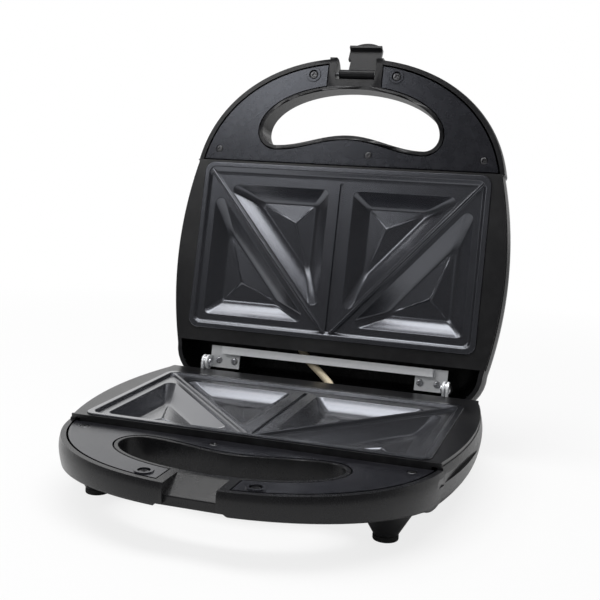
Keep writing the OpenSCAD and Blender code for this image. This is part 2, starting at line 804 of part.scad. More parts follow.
// Bimetal thermostat under the reflector
module thermostat() {
    color("#c8c2b4") placed() {
        translate([0, 10, reflector_z - sheet_t - 5]) cylinder(r = 8, h = 5);
        span([-11, 7, reflector_z - sheet_t - 2], [11, 13, reflector_z - sheet_t - 1.2]);
    }
}

// One-shot thermal fuse in its sleeve
module thermal_fuse() {
    color("#e6e0d0") placed() translate([-34, -16, reflector_z - sheet_t - 2.2]) rotate([0, 90, 0])
        cylinder(r = 2.2, h = 20);
}

block_d = 9;
block_y = base_rear_y - 31 - block_d;
block_pitch = 5;

// Three-pole terminal block on the casing floor
module terminal_block() {
    color("#e8e4da") placed() difference() {
        span([gland_x - 9, block_y, belly_z + wall], [gland_x + 9, block_y + block_d, belly_z + wall + 7]);
        for (i = [-1:1]) {
            translate([gland_x + i * block_pitch, block_y + block_d / 2, belly_z + wall + 3])
                cylinder(r = 1.6, h = 9);
        }
    }
}

// Inner leads from the gland to the block
module base_wires() {
    color("#7a4a2a") placed() for (i = [-1:1]) {
        translate([gland_x + i * block_pitch, block_y + block_d, gland_z]) rotate([-90, 0, 0])
            cylinder(r = 1.1, h = gland_back_y - block_y - block_d);
    }
}

gland_x = -62;
gland_r = 4.4;
gland_z = belly_z + wall + 3;
gland_back_y = base_rear_y - 16;
gland_face_y = base_rear_y - 1.4;
gland_flange_t = 1.6;

// Cord inlet bush in the rear wall
module cord_gland() {
    color("#141416") placed() difference() {
        union() {
            translate([gland_x, gland_back_y, gland_z]) rotate([-90, 0, 0])
                cylinder(r = gland_r, h = gland_face_y - gland_back_y);
            translate([gland_x, gland_face_y, gland_z]) rotate([-90, 0, 0])
                cylinder(r = gland_r + 1.2, h = gland_flange_t);
        }
        translate([gland_x, gland_back_y + 2, gland_z]) rotate([-90, 0, 0])
            cylinder(r = gland_r - 1.2, h = 20);
    }
}

// Rubber tip of a foot with its plug
module foot(place) {
    color("#101011") placed() translate([place[0], place[1], 0]) difference() {
        cylinder(r = tip_r, h = tip_h);
        translate([0, 0, -1]) cylinder(r = 3, h = 2.2);
        translate([0, 0, -1]) cylinder(r = small_screw_r, h = tip_h + 2);
    }
}

module foot_front_left() {
    foot(foot_places[0]);
}

module foot_front_right() {
    foot(foot_places[1]);
}

module foot_rear_left() {
    foot(foot_places[2]);
}

module foot_rear_right() {
    foot(foot_places[3]);
}

module foot_screws() {
    color("silver") placed() for (f = foot_places) {
        translate([f[0], f[1], 0.2]) mirror([0, 0, 1])
            screw(small_screw_r, short_screw_len, small_screw_r * 1.9, 1);
    }
}

hinge_screw_xs = [-ear_half + 5, -ear_half + 17, ear_half - 17, ear_half - 5];
bracket_screw_z = rim_z - 8;
washer_x = ear_half + ear_t + side_play;
base_ear_x = washer_x + washer_t;

// Stamped bracket on the base's rear wall with an ear at the hinge axis
module base_hinge_bracket(side) {
    color("#b8bdc4") placed() mirror([side < 0 ? 1 : 0, 0, 0]) difference() {
        union() {
            span([ear_half - 21, base_deck_rear_y, rim_z - 12],
                [base_ear_x + ear_t, base_deck_rear_y + ear_t, deck_z - 3]);
            span([base_ear_x, base_deck_rear_y, rim_z - 6], [base_ear_x + ear_t, hinge_y, hinge_z]);
            translate([base_ear_x, hinge_y, hinge_z]) rotate([0, 90, 0]) cylinder(r = ear_r, h = ear_t);
        }
        translate([base_ear_x - 1, hinge_y, hinge_z]) rotate([0, 90, 0])
            cylinder(r = hinge_pin_r, h = ear_t + 2);
        for (x = [ear_half - 17, ear_half - 5]) {
            translate([x, base_deck_rear_y - 2, bracket_screw_z]) rotate([-90, 0, 0])
                cylinder(r = small_screw_r, h = 6);
        }
    }
}

module base_hinge_bracket_left() {
    base_hinge_bracket(-1);
}

module base_hinge_bracket_right() {
    base_hinge_bracket(1);
}

module base_hinge_screws() {
    color("silver") placed() for (x = hinge_screw_xs) {
        translate([x, base_deck_rear_y + ear_t + 1, bracket_screw_z]) rotate([-90, 0, 0])
            screw(small_screw_r, short_screw_len, small_screw_r * 1.9, 1);
    }
}

// Riveted hinge pin: a domed head outside, a small head inside
module hinge_pin(side) {
    head_x = base_ear_x + ear_t;
    dome_r = 5.2;
    dome_drop = 3;
    color("#d0d4d8") placed() translate([0, hinge_y, hinge_z]) mirror([side < 0 ? 1 : 0, 0, 0]) {
        translate([ear_half - side_play - 1, 0, 0]) rotate([0, 90, 0])
            cylinder(r = hinge_pin_r, h = head_x - ear_half + side_play + 1.5);
        translate([ear_half - side_play - 1, 0, 0]) rotate([0, 90, 0]) cylinder(r = hinge_pin_r + 1, h = 1);
        translate([head_x, 0, 0]) rotate([0, 90, 0]) rotate_extrude() intersection() {
            translate([0, -dome_drop]) circle(r = dome_r);
            square([5, 5]);
        }
    }
}

module hinge_pin_left() {
    hinge_pin(-1);
}

module hinge_pin_right() {
    hinge_pin(1);
}

// Route of the wiring sleeve from the base into the lid in the open pose, from the hinge axis
sleeve_hole_z = hinge_z - 10;
sleeve_offsets = [[0, -27.3, -21.6], [0, -20.3, -16.6], [0, -13.3, -11.6], [0, -5.3, -10],
    [-1.5, -0.3, -6.8], [-5, 2.7, -4.1], [-9, 4.7, -1.2], [-13.5, 6.7, 1.8], [-18.5, 8.9, 5],
    [-23.5, 12, 8.8], [-28.5, 16, 13], [-33, 20.7, 17.4]];
sleeve_route = [for (p = sleeve_offsets) [sleeve_x + p[0], hinge_y + p[1], hinge_z + p[2]]];
sleeve_sides = 10;

// Direction of the route at a point, and a ring of points round it
function route_dir(i) = let (a = sleeve_route[max(i - 1, 0)],
    b = sleeve_route[min(i + 1, len(sleeve_route) - 1)])
    (b - a) / norm(b - a);
function route_ring(i, r) = let (d = route_dir(i), u = cross(d, [1, 0, 0]) / norm(cross(d, [1, 0, 0])),
    v = cross(d, u))
    [for (k = [0:sleeve_sides - 1]) let (a = 360 * k / sleeve_sides)
        sleeve_route[i] + r * (cos(a) * u + sin(a) * v)];

// Braided sleeve round the leads that feed the lid
module wiring_sleeve() {
    rings = len(sleeve_route);
    points = [for (i = [0:rings - 1]) each route_ring(i, sleeve_r)];
    walls = [for (i = [0:rings - 2]) for (k = [0:sleeve_sides - 1])
        let (n = (k + 1) % sleeve_sides, a = i * sleeve_sides, b = a + sleeve_sides) each
        [[a + k, a + n, b + n], [a + k, b + n, b + k]]];
    first = [for (k = [sleeve_sides - 1:-1:0]) k];
    last = [for (k = [0:sleeve_sides - 1]) (rings - 1) * sleeve_sides + k];
    color("#e9dfc4") placed() polyhedron(points = points, faces = concat(walls, [first], [last]),
        convexity = 4);
}

lid_notch_half = notch_w / 2;
pivot_y = handle_front_y + latch_in;
pivot_z = lid_cover_z + latch_up;

// Upper casing, drawn closed
module lid_shell() {
    color("#1d1d20") lid_placed() difference() {
        union() {
            difference() {
                casing_body(lid_profile, lid_rear_y, 0);
                above_lid_handle(0);
                span([-200, -200, 0], [200, deck_front_y, lid_cover_z]);
                span([-200, deck_front_y - 1, 0], [200, lid_deck_rear_y, lid_deck_z + deck_t]);
                span([-200, lid_deck_rear_y - 1, 0], [200, 200, lid_deck_z]);
                span([-hood_gap_half, lid_deck_rear_y - 1, 0], [hood_gap_half, 200, lid_deck_z + deck_t]);
                difference() {
                    casing_body(lid_profile, lid_rear_y, wall);
                    span([-200, -200, lid_top_z - wall], [200, 200, 200]);
                    above_lid_handle(wall);
                }
            }
            difference() {
                linear_extrude_between(lid_cover_z, lid_cover_z + lid_grip_rear_t + 3) {
                    difference() {
                        polygon(grip_points(grip_lip));
                        polygon(grip_points(0));
                    }
                }
                above_lid_handle(0.5);
            }
            difference() {
                span([-lid_notch_half - notch_wall, handle_front_y + 0.6, lid_cover_z],
                    [lid_notch_half + notch_wall, grip_front_y - 0.5, lid_top_z]);
                above_lid_handle(0.5);
                span([-200, handle_front_y - 9, lid_cover_z + 3], [200, handle_front_y + 1.6, lid_top_z]);
            }
            lid_bosses();
        }
        span([-lid_notch_half, handle_front_y - 5, lid_cover_z - 1],
            [lid_notch_half, notch_back_y, lid_top_z]);
        linear_extrude_between(lid_cover_z - 1, lid_top_z + 5) {
            polygon(grip_points(0));
        }
        for (s = lid_screws) {
            r = s[2] ? big_screw_r : small_screw_r;
            translate([s[0], s[1], lid_cover_z + cover_t - 0.5]) cylinder(r = r, h = screw_len);
        }
        translate([-lid_notch_half - notch_wall - 0.5, pivot_y, pivot_z]) rotate([0, 90, 0])
            cylinder(r = latch_pin_r, h = notch_w + 2 * notch_wall + 1);
        for (x = lamp_xs) {
            translate([x, lamp_y, lid_top_z - 20]) cylinder(r = lamp_r, h = 40);
        }
        for (x = leaf_screw_xs) {
            translate([x, leaf_screw_y, leaf_z]) cylinder(r = small_screw_r, h = 9);
        }
    }
}

lamp_xs = [-12, 12];
lamp_y = -30;
lamp_r = 3.4;
leaf_z = lid_rim_z + 7.6;
leaf_screw_xs = [-ear_half + 5, -ear_half + 16.7, ear_half - 16.7, ear_half - 5];
leaf_screw_y = hinge_y - 2.3;
hood_gap_half = ear_half + 9;
roof_z = lid_top_z - wall + 0.5;

// Bosses inside the lid for the cover screws and the hinge leaves
module lid_bosses() {
    for (s = lid_screws) {
        r = s[2] ? big_screw_r : small_screw_r;
        low = lid_cover_z + cover_t + (s[2] ? 0 : lug_t);
        high = lid_cover_z + (s[2] ? lid_grip_t - 1 : lid_grip_rear_t - 5);
        translate([s[0], s[1], low]) cylinder(r = r + 2.2, h = high - low);
    }
    for (x = leaf_screw_xs) {
        translate([x, leaf_screw_y, leaf_z + ear_t]) cylinder(r = small_screw_r + 2.2,
            h = roof_z - 8 - leaf_z - ear_t);
    }
    for (side = [-1, 1]) {
        span([side * ear_half - (side > 0 ? 20 : -1), leaf_screw_y - 1, roof_z - 22],
            [side * ear_half + (side > 0 ? -1 : 20), leaf_screw_y + 1, roof_z]);
    }
}

module lid_deck_frame() {
    color("#161619") lid_placed() turned_over() deck_frame(lid_deck_rear_y, -1);
}

module lid_handle_cover() {
    color("#26262a") lid_placed() turned_over() handle_cover(-1);
}

module lid_cover_screws() {
    color("#2b2b2e") lid_placed() turned_over() cover_screws(-1);
}

// The lid's plate is the same casting turned about X, so its ridges meet at the hinge side
module lid_cooking_plate() {
    color("#3a3a40") lid_placed() translate([0, 0, rim_z + lid_rim_z]) rotate([180, 0, 0]) cooking_plate();
}

module lid_plate_screws() {
    color("silver") lid_placed() turned_over() plate_screws();
}

module lid_heating_element() {
    color("#6d6a66") lid_placed() turned_over() heating_element();
}

module lid_element_clamps() {
    color("silver") lid_placed() turned_over() element_clamps();
}

module lid_reflector() {
    color("#b9bcc0") lid_placed() turned_over() reflector();
}

bar_front_z = lid_rim_z + 3.2;
bar_half = ear_half - 8;
bar_y = lid_deck_rear_y + 2.5;

// Long stamped rail between the two hinge leaves
module hinge_crossbar() {
    color("#c3c8cf") lid_placed() {
        span([-bar_half, bar_y, bar_front_z], [bar_half, bar_y + bar_w, bar_front_z + 1.2]);
        span([-bar_half, bar_y, bar_front_z], [bar_half, bar_y + 1.2, leaf_z]);
    }
}

// Hinge leaf: a screwed plate with an ear at the hinge axis
module lid_hinge_leaf(side) {
    color("#b8bdc4") lid_placed() mirror([side < 0 ? 1 : 0, 0, 0]) difference() {
        union() {
            span([ear_half - 20.5, bar_y, leaf_z], [ear_half + ear_t, hinge_y + 3, leaf_z + ear_t]);
            span([ear_half, hinge_y - ear_r, hinge_z], [ear_half + ear_t, hinge_y + 3, leaf_z + 1]);
            translate([ear_half, hinge_y, hinge_z]) rotate([0, 90, 0]) cylinder(r = ear_r, h = ear_t);
        }
        translate([ear_half - 1, hinge_y, hinge_z]) rotate([0, 90, 0])
            cylinder(r = hinge_pin_r + running_gap, h = ear_t + 2);
        for (x = leaf_screw_xs) {
            translate([x, leaf_screw_y, leaf_z - 1]) cylinder(r = small_screw_r, h = 6);
        }
    }
}

module lid_hinge_leaf_left() {
    lid_hinge_leaf(-1);
}

module lid_hinge_leaf_right() {
    lid_hinge_leaf(1);
}

module lid_hinge_screws() {
    color("silver") lid_placed() for (x = leaf_screw_xs) {
        translate([x, leaf_screw_y, leaf_z - 1]) mirror([0, 0, 1])
            screw(small_screw_r, short_screw_len, small_screw_r * 1.9, 1);
    }
}

// Loose washer between the two ears
module hinge_washer(side) {
    color("#d0d4d8") placed() mirror([side < 0 ? 1 : 0, 0, 0]) translate([washer_x, hinge_y, hinge_z])
        rotate([0, 90, 0]) difference() {
            cylinder(r = ear_r - 0.4, h = washer_t);
            translate([0, 0, -1]) cylinder(r = hinge_pin_r, h = washer_t + 2);
        }
}

module hinge_washer_left() {
    hinge_washer(-1);
}

module hinge_washer_right() {
    hinge_washer(1);
}

// Indicator lens in the lid's top
module lamp_lens(x) {
    lid_placed() translate([x, lamp_y, lid_top_z - wall]) {
        cylinder(r = lamp_r - 0.05, h = wall + 0.6);
        translate([0, 0, -1.2]) cylinder(r = lamp_r + 1, h = 1.2);
    }
}

module power_lamp_lens() {
    color("#b3261e") lamp_lens(lamp_xs[0]);
}

module ready_lamp_lens() {
    color("#2e8b45") lamp_lens(lamp_xs[1]);
}

module neon_lamps() {
    color("#e0a070") lid_placed() for (x = lamp_xs) {
        translate([x, lamp_y, lid_top_z - wall - 1.3 - 8]) cylinder(r = 2, h = 8);
    }
}

module latch_pin() {
    color("silver") lid_placed() translate([-lid_notch_half - notch_wall, pivot_y, pivot_z])
        rotate([0, 90, 0])
        cylinder(r = latch_pin_r, h = notch_w + 2 * notch_wall);
}

// Distances of the latch hook from the pivot
sill_edge = norm([sill_front_y - pivot_y, sill_bottom_z - pivot_z]);
hook_r = sill_edge + 0.3;
barrel_half = notch_w / 2 - 1.5;
hook_t = 1.8;
arm_inner = pivot_y - sill_front_y + 0.8;
hook_in = arm_inner - 2.7;

// Points of an arc round the pivot, by their reach in front of it
function hook_arc(r, from, to) = [for (i = [0:4]) let (y = from + (to - from) * i / 4) [-y,
    -sqrt(r * r - y * y)]];

// Swing latch with a hook and a finger tab, drawn hooked and turned to its rest place
module latch() {
    arm_outer = arm_inner + arm_t;
    heel_z = -sqrt(pow(hook_r, 2) - pow(arm_inner, 2));
    color("#232326") lid_placed() translate([0, pivot_y, pivot_z]) rotate([-latch_open, 0, 0])
        difference() {
        union() {
            rotate([0, 90, 0]) translate([0, 0, -barrel_half]) cylinder(r = barrel_r, h = 2 * barrel_half);
            yz_prism([[0, barrel_r - 0.1], [-5, barrel_r - 1.5], [-arm_outer + 2.2, -1], [-arm_outer, -3.5],
                [-arm_outer, heel_z], [-arm_inner, heel_z], [-arm_inner, -5.5], [-arm_inner + 2, -3],
                    [0, -barrel_r + 0.5]],
                arm_w / 2);
            yz_prism(concat([[-arm_outer, heel_z + 8], [-arm_inner, heel_z + 8]],
                hook_arc(hook_r, arm_inner, hook_in),
                hook_arc(hook_r + hook_t, hook_in, arm_inner), [[-arm_outer, heel_z - hook_t]]), tab_w / 2);
            intersection() {
                yz_prism([[-arm_inner, heel_z - hook_t + 0.5], [-arm_outer, heel_z],
                    [-arm_outer - 0.6, heel_z - hook_t - tab_len],
                    [-arm_outer + 1.2, heel_z - hook_t - tab_len]], tab_w / 2);
                translate([0, 0, heel_z - hook_t - tab_len + tab_w * 0.6]) rotate([90, 0, 0])
                    cylinder(r = tab_w * 0.6, h = 40, center = true);
            }
        }
        rotate([0, 90, 0]) translate([0, 0, -arm_w]) cylinder(r = latch_pin_r + running_gap, h = 2 * arm_w);
    }
}

base_shell();
base_deck_frame();
base_handle_cover();
base_cover_screws();
base_cooking_plate();
base_plate_screws();
base_heating_element();
base_element_clamps();
base_reflector();
thermostat();
thermal_fuse();
terminal_block();
base_wires();
cord_gland();
foot_front_left();
foot_front_right();
foot_rear_left();
foot_rear_right();
foot_screws();
base_hinge_bracket_left();
base_hinge_bracket_right();
base_hinge_screws();
hinge_pin_left();
hinge_pin_right();
wiring_sleeve();
lid_shell();
lid_deck_frame();
lid_handle_cover();
lid_cover_screws();
lid_cooking_plate();
lid_plate_screws();
lid_heating_element();
lid_element_clamps();
lid_reflector();
hinge_crossbar();
lid_hinge_leaf_left();
lid_hinge_leaf_right();
lid_hinge_screws();
hinge_washer_left();
hinge_washer_right();
power_lamp_lens();
ready_lamp_lens();
neon_lamps();
latch_pin();
latch();
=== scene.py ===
import math
import bmesh
import bpy
from mathutils import Matrix, Vector


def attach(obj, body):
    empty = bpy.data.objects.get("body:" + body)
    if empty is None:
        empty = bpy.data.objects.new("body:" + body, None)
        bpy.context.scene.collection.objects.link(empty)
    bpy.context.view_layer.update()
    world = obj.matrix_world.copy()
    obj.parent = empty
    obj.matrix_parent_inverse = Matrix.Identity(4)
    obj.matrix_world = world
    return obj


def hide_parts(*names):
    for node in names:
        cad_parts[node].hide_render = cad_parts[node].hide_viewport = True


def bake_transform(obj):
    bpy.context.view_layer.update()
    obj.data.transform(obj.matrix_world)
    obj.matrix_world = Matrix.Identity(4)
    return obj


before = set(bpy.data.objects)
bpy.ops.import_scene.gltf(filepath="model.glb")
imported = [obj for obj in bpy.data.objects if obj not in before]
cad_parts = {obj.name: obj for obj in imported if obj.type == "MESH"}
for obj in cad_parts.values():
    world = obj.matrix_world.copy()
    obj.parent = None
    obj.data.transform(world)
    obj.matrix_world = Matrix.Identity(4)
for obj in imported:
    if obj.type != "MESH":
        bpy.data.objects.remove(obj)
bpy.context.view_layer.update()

# Everything is modelled in millimetres round the plate centre, with the lid closed and the whole thing 4 mm
# too high (the drop below), and settle puts it in place.
plan = {
    "plateW": 206, "plateD": 120, "plateCorner": 7, "platesY": -12.9,
    "halfW": 118.9, "sideR": 278, "bulgeY": 8, "archHalfW": 113, "archY": -42, "archReach": 97.85, "archFull": 2.15,
    "deckFrontY": -61.5, "rearCorner": 26,
    "baseRear": 97, "lidRear": 99, "baseDeckRear": 78.8, "lidDeckRear": 69.3, "lidRailX": 93, "coverRear": -63.1,
    "hingeY": 84.3, "hingeZ": 47.6, "openAngle": 102.5,
    "rimZ": 45, "deckZ": 44, "coverZ": 40.5, "lidRimZ": 45.6, "lidDeckZ": 46.6, "lidCoverZ": 50.1,
    "lidTop": 82.6, "bellyZ": 13.5, "shelfZ": 26, "wall": 3, "coverInset": 5.1, "coverT": 2, "deckT": 2.2, "drop": 4,
}
wide, far = plan["halfW"] + 20, 160   # cutters reach past the sides, and past the front and the rear
tiny = 0.02   # a vertex this near to a height counts as on it


# helpers

def makeActive(obj):
    if bpy.context.object and bpy.context.object.mode != "OBJECT":
        bpy.ops.object.mode_set(mode="OBJECT")
    bpy.ops.object.select_all(action="DESELECT")
    obj.select_set(True)
    bpy.context.view_layer.objects.active = obj


def applyTransform():
    bpy.ops.object.transform_apply(location=True, rotation=True, scale=True)


def paint(obj, material):
    obj.data.materials.clear()
    obj.data.materials.append(material)


def addObject(name, data):
    obj = bpy.data.objects.new(name, data)
    bpy.context.scene.collection.objects.link(obj)
    return obj


def copyOf(obj):
    copy = obj.copy()
    copy.data = obj.data.copy()
    bpy.context.scene.collection.objects.link(copy)
    return copy


def applyModifier(obj, kind, **values):
    makeActive(obj)
    mod = obj.modifiers.new(kind.lower(), kind)
    for key, value in values.items():
        setattr(mod, key, value)
    bpy.ops.object.modifier_apply(modifier=mod.name)


def openEdit(obj, mode="VERT"):
    makeActive(obj)
    bpy.ops.object.mode_set(mode="EDIT")
    bpy.ops.mesh.select_mode(type=mode)


def closeEdit():
    bpy.ops.object.mode_set(mode="OBJECT")


def breakEdges(obj, width, segments=2, angle=40):
    applyModifier(obj, "BEVEL", width=width, segments=segments, limit_method="ANGLE",
                  angle_limit=math.radians(angle))


def faceOutwards(obj):
    openEdit(obj)
    bpy.ops.mesh.select_all(action="SELECT")
    bpy.ops.mesh.remove_doubles(threshold=0.001)
    bpy.ops.mesh.normals_make_consistent(inside=False)
    closeEdit()


def prism(points, low, high, axis="Z"):
    bpy.ops.object.select_all(action="DESELECT")
    bpy.ops.mesh.primitive_circle_add(vertices=len(points), radius=1, fill_type="NGON")
    obj = bpy.context.object
    for v, (a, b) in zip(obj.data.vertices, points):
        v.co = {"X": (low, a, b), "Y": (a, low, b), "Z": (a, b, low)}[axis]
    step = [high - low if axis == letter else 0 for letter in "XYZ"]
    openEdit(obj, "FACE")
    bpy.ops.mesh.select_all(action="SELECT")
    bpy.ops.mesh.extrude_region_move(TRANSFORM_OT_translate={"value": step})
    closeEdit()
    faceOutwards(obj)
    return obj


def block(low, high):
    low, high = Vector(low), Vector(high)
    bpy.ops.object.select_all(action="DESELECT")
    bpy.ops.mesh.primitive_cube_add(size=1, location=(low + high) / 2)
    obj = bpy.context.object
    obj.scale = high - low
    applyTransform()
    return obj


def rod(start, end, r1, r2=None, sides=48):
    start, end = Vector(start), Vector(end)
    along = end - start
    bpy.ops.object.select_all(action="DESELECT")
    bpy.ops.mesh.primitive_cone_add(vertices=sides, radius1=r1, radius2=r1 if r2 is None else r2,
                                    depth=along.length, location=(start + end) / 2,
                                    rotation=along.to_track_quat("Z", "Y").to_euler())
    applyTransform()
    return bpy.context.object


def combine(obj, other, operation="DIFFERENCE"):
    applyModifier(obj, "BOOLEAN", operation=operation, solver="EXACT", object=other)
    bpy.data.objects.remove(other)
    return obj


# closed body through rings of points, each with as many as the first
def ringBody(name, rings):
    bpy.ops.object.select_all(action="DESELECT")
    bpy.ops.mesh.primitive_circle_add(vertices=len(rings[0]), radius=1)
    obj = bpy.context.object
    obj.name = obj.data.name = name
    openEdit(obj)
    bpy.ops.mesh.select_all(action="SELECT")
    bm = bmesh.from_edit_mesh(obj.data)
    bm.verts.ensure_lookup_table()
    station = bm.verts.layers.int.new("station")
    for v in bm.verts:
        v[station] = v.index
        v.co = rings[0][v.index]
    bmesh.update_edit_mesh(obj.data)
    for ring in rings[1:]:
        bpy.ops.mesh.extrude_edges_move()
        bm = bmesh.from_edit_mesh(obj.data)
        station = bm.verts.layers.int["station"]
        for v in bm.verts:
            if v.select:
                v.co = ring[v[station]]
        bmesh.update_edit_mesh(obj.data)
    bpy.ops.mesh.select_all(action="SELECT")
    bpy.ops.mesh.fill_holes(sides=0)
    closeEdit()
    faceOutwards(obj)
    return obj


# rounds the sharp edges whose two ends pass the test
def roundEdges(obj, test, width, segments=3, sharp=25):
    openEdit(obj, "EDGE")
    bpy.ops.mesh.select_all(action="DESELECT")
    bm = bmesh.from_edit_mesh(obj.data)
    limit = math.radians(sharp)
    for e in bm.edges:
        if len(e.link_faces) == 2 and e.calc_face_angle(0) > limit and test(e.verts[0].co) and test(e.verts[1].co):
            e.select = True
    bm.select_flush_mode()
    bmesh.update_edit_mesh(obj.data)
    bpy.ops.mesh.bevel(offset=width, segments=segments, profile=0.5, affect="EDGES", clamp_overlap=True)
    closeEdit()
    return obj


def softLine(points, reach, steps=5):
    points = [Vector(p) for p in points]
    out = [points[0]]
    for a, b, c in zip(points, points[1:], points[2:]):
        r = min(reach, 0.45 * (a - b).length, 0.45 * (c - b).length)
        p, q = b + (a - b).normalized() * r, b + (c - b).normalized() * r
        out += [p * (1 - t) ** 2 + b * 2 * t * (1 - t) + q * t * t for t in (i / steps for i in range(steps + 1))]
    return [tuple(p) for p in out + [points[-1]]]


def smooth(obj, angle=30, weighted=True):
    makeActive(obj)
    bpy.ops.object.shade_smooth_by_angle(angle=math.radians(angle))
    if weighted:
        applyModifier(obj, "WEIGHTED_NORMAL", keep_sharp=True, weight=80)


baseMatrix = Matrix.Scale(0.001, 4) @ Matrix.Translation((0, plan["platesY"], -plan["drop"]))
hingePoint = Vector((0, plan["hingeY"], plan["hingeZ"]))
lidMatrix = (baseMatrix @ Matrix.Translation(hingePoint) @ Matrix.Rotation(-math.radians(plan["openAngle"]), 4, "X")
             @ Matrix.Translation(-hingePoint))
flipZ = plan["rimZ"] + plan["lidRimZ"]
turnedMatrix = lidMatrix @ Matrix.Translation((0, 0, flipZ)) @ Matrix.Rotation(math.pi, 4, "Y")
plateMatrix = lidMatrix @ Matrix.Translation((0, 0, flipZ)) @ Matrix.Rotation(math.pi, 4, "X")


def register(obj, name, body, node, material):
    obj.name = obj.data.name = name
    paint(obj, material)
    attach(obj, body)
    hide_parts(node)
    print("made", name, len(obj.data.polygons), "faces")


def settle(obj, name, matrix, body, node, material):
    obj.matrix_world = matrix
    makeActive(obj)
    applyTransform()
    register(obj, name, body, node, material)


# outlines

def sideX(y, inset=0.0):
    return plan["halfW"] - plan["sideR"] + math.sqrt((plan["sideR"] - inset) ** 2 - (y - plan["bulgeY"]) ** 2)


def stations(corner=9, side=22, arch=90):
    half = [("corner", math.pi / 2 * i / corner) for i in range(corner + 1)]
    half += [("side", i / side) for i in range(1, side + 1)]
    a0 = math.asin(((plan["archY"] - plan["deckFrontY"]) / plan["archReach"]) ** (plan["archFull"] / 2))
    front = [("arch", a0 + (math.pi - 2 * a0) * i / arch, 1) for i in range(arch + 1)]
    return [(*spot, 1) for spot in half] + front + [(*spot, -1) for spot in reversed(half)]


def outlinePoint(station, rearY, inset):
    kind, t, side = station
    cy = rearY - plan["rearCorner"]
    if kind == "arch":
        c, power = math.cos(t), 2 / plan["archFull"]
        return (math.copysign(abs(c) ** power, c) * (plan["archHalfW"] - inset),
                plan["archY"] - (plan["archReach"] - inset) * math.sin(t) ** power)
    if kind == "corner":
        r = plan["rearCorner"] - inset
        return side * (sideX(cy) - plan["rearCorner"] + r * math.sin(t)), cy + r * math.cos(t)
    y = cy + (plan["deckFrontY"] + 1.5 - cy) * t
    return side * sideX(y, inset), y


def outline(rearY, inset):
    return [outlinePoint(station, rearY, inset) for station in stations()]


grip = {"halfW": 64, "frontY": -117, "lobeR": 10.5, "lobeY": -85.5, "bow": 9, "lip": 2.6}


def gripLine(grow):
    lobeX = grip["halfW"] - grip["lobeR"]
    reach = grip["lobeY"] - grip["frontY"] + grow
    r = grip["lobeR"] + grow
    line = [((grip["halfW"] + grow) * math.cos(a), grip["lobeY"] + reach * math.sin(a))
            for a in (math.pi * (1 + i / 56) for i in range(57))]
    lobe = [(lobeX + r * math.cos(a), grip["lobeY"] + r * math.sin(a))
            for a in (math.pi / 2 * i / 10 for i in range(1, 10))]
    back = [(lobeX * t, grip["lobeY"] + r - grip["bow"] * (1 + math.cos(math.pi * t)) / 2)
            for t in (1 - i / 14 for i in range(29))]
    return line + lobe + back + [(-x, y) for x, y in reversed(lobe)]


# inset at a height, on a smooth curve through the profile's points
def insetAt(profile, z):
    pts = sorted(profile)
    i = max(k for k in range(len(pts) - 1) if k == 0 or z > pts[k][0])
    (z0, a), (z1, b) = pts[i], pts[i + 1]
    m0 = (b - pts[i - 1][1]) / (z1 - pts[i - 1][0]) if i else (b - a) / (z1 - z0)
    m1 = (pts[i + 2][1] - a) / (pts[i + 2][0] - z0) if i + 2 < len(pts) else (b - a) / (z1 - z0)
    h, t = z1 - z0, min(1, (z - z0) / (z1 - z0))
    return ((2 * t ** 3 - 3 * t ** 2 + 1) * a + (t ** 3 - 2 * t ** 2 + t) * h * m0
            + (3 * t ** 2 - 2 * t ** 3) * b + (t ** 3 - t ** 2) * h * m1)


def heightAt(line, y):
    for (y0, z0), (y1, z1) in zip(line, line[1:]):
        if y0 <= y <= y1:
            return z0 + (z1 - z0) * (y - y0) / (y1 - y0)
    return line[-1][1]


# rings from the flat side to the rounded end of a casing; the end follows a line over y
def casingRings(profile, rearY, flatZ, line, flat, grow=0.0, fillet=1.8, levels=16):
    side = 1 if flat > flatZ else -1
    limit = min if side > 0 else max
    rows = [(i / levels, None) for i in range(levels + 1)] + [(1, math.pi / 2 * i / 5) for i in range(1, 6)]
    rings = []
    for part, turn in rows:
        ring = []
        for station in stations():
            y = outlinePoint(station, rearY, grow)[1]
            for _ in range(3):
                end = limit(heightAt(line, y), flat)
                z = flatZ + (end - side * fillet - flatZ) * part + (side * fillet * math.sin(turn) if turn else 0)
                extra = fillet * (1 - math.cos(turn)) if turn else 0
                x, y = outlinePoint(station, rearY, insetAt(profile, z) + extra + grow)
            ring.append((x, y, z))
        rings.append(ring)
    return rings + [[(x, y, z + side * 3) for x, y, z in rings[-1]]]


# materials

def link(tree, a, b):
    tree.links.new(a, b)


def mathNode(tree, operation, a, b, clamp=False):
    n = tree.nodes.new("ShaderNodeMath")
    n.operation, n.use_clamp = operation, clamp
    for socket, value in zip(n.inputs, (a, b)):
        if isinstance(value, (int, float)):
            socket.default_value = value
        else:
            link(tree, value, socket)
    return n.outputs[0]


# mix node for colours: its factor and its two colours are sockets 0, 6 and 7, and its result is output 2
def mixColor(tree, fac, a, b):
    n = tree.nodes.new("ShaderNodeMix")
    n.data_type = "RGBA"
    link(tree, fac, n.inputs[0])
    for i, value in ((6, a), (7, b)):
        if isinstance(value, tuple):
            n.inputs[i].default_value = (*value, 1)
        else:
            link(tree, value, n.inputs[i])
    return n.outputs[2]


def noiseNode(tree, coords, scale, detail, rough):
    n = tree.nodes.new("ShaderNodeTexNoise")
    link(tree, coords, n.inputs["Vector"])
    n.inputs["Detail"].default_value, n.inputs["Roughness"].default_value = detail, rough
    if isinstance(scale, (int, float)):
        n.inputs["Scale"].default_value = scale
    else:
        link(tree, scale, n.inputs["Scale"])
    return n.outputs["Fac"]


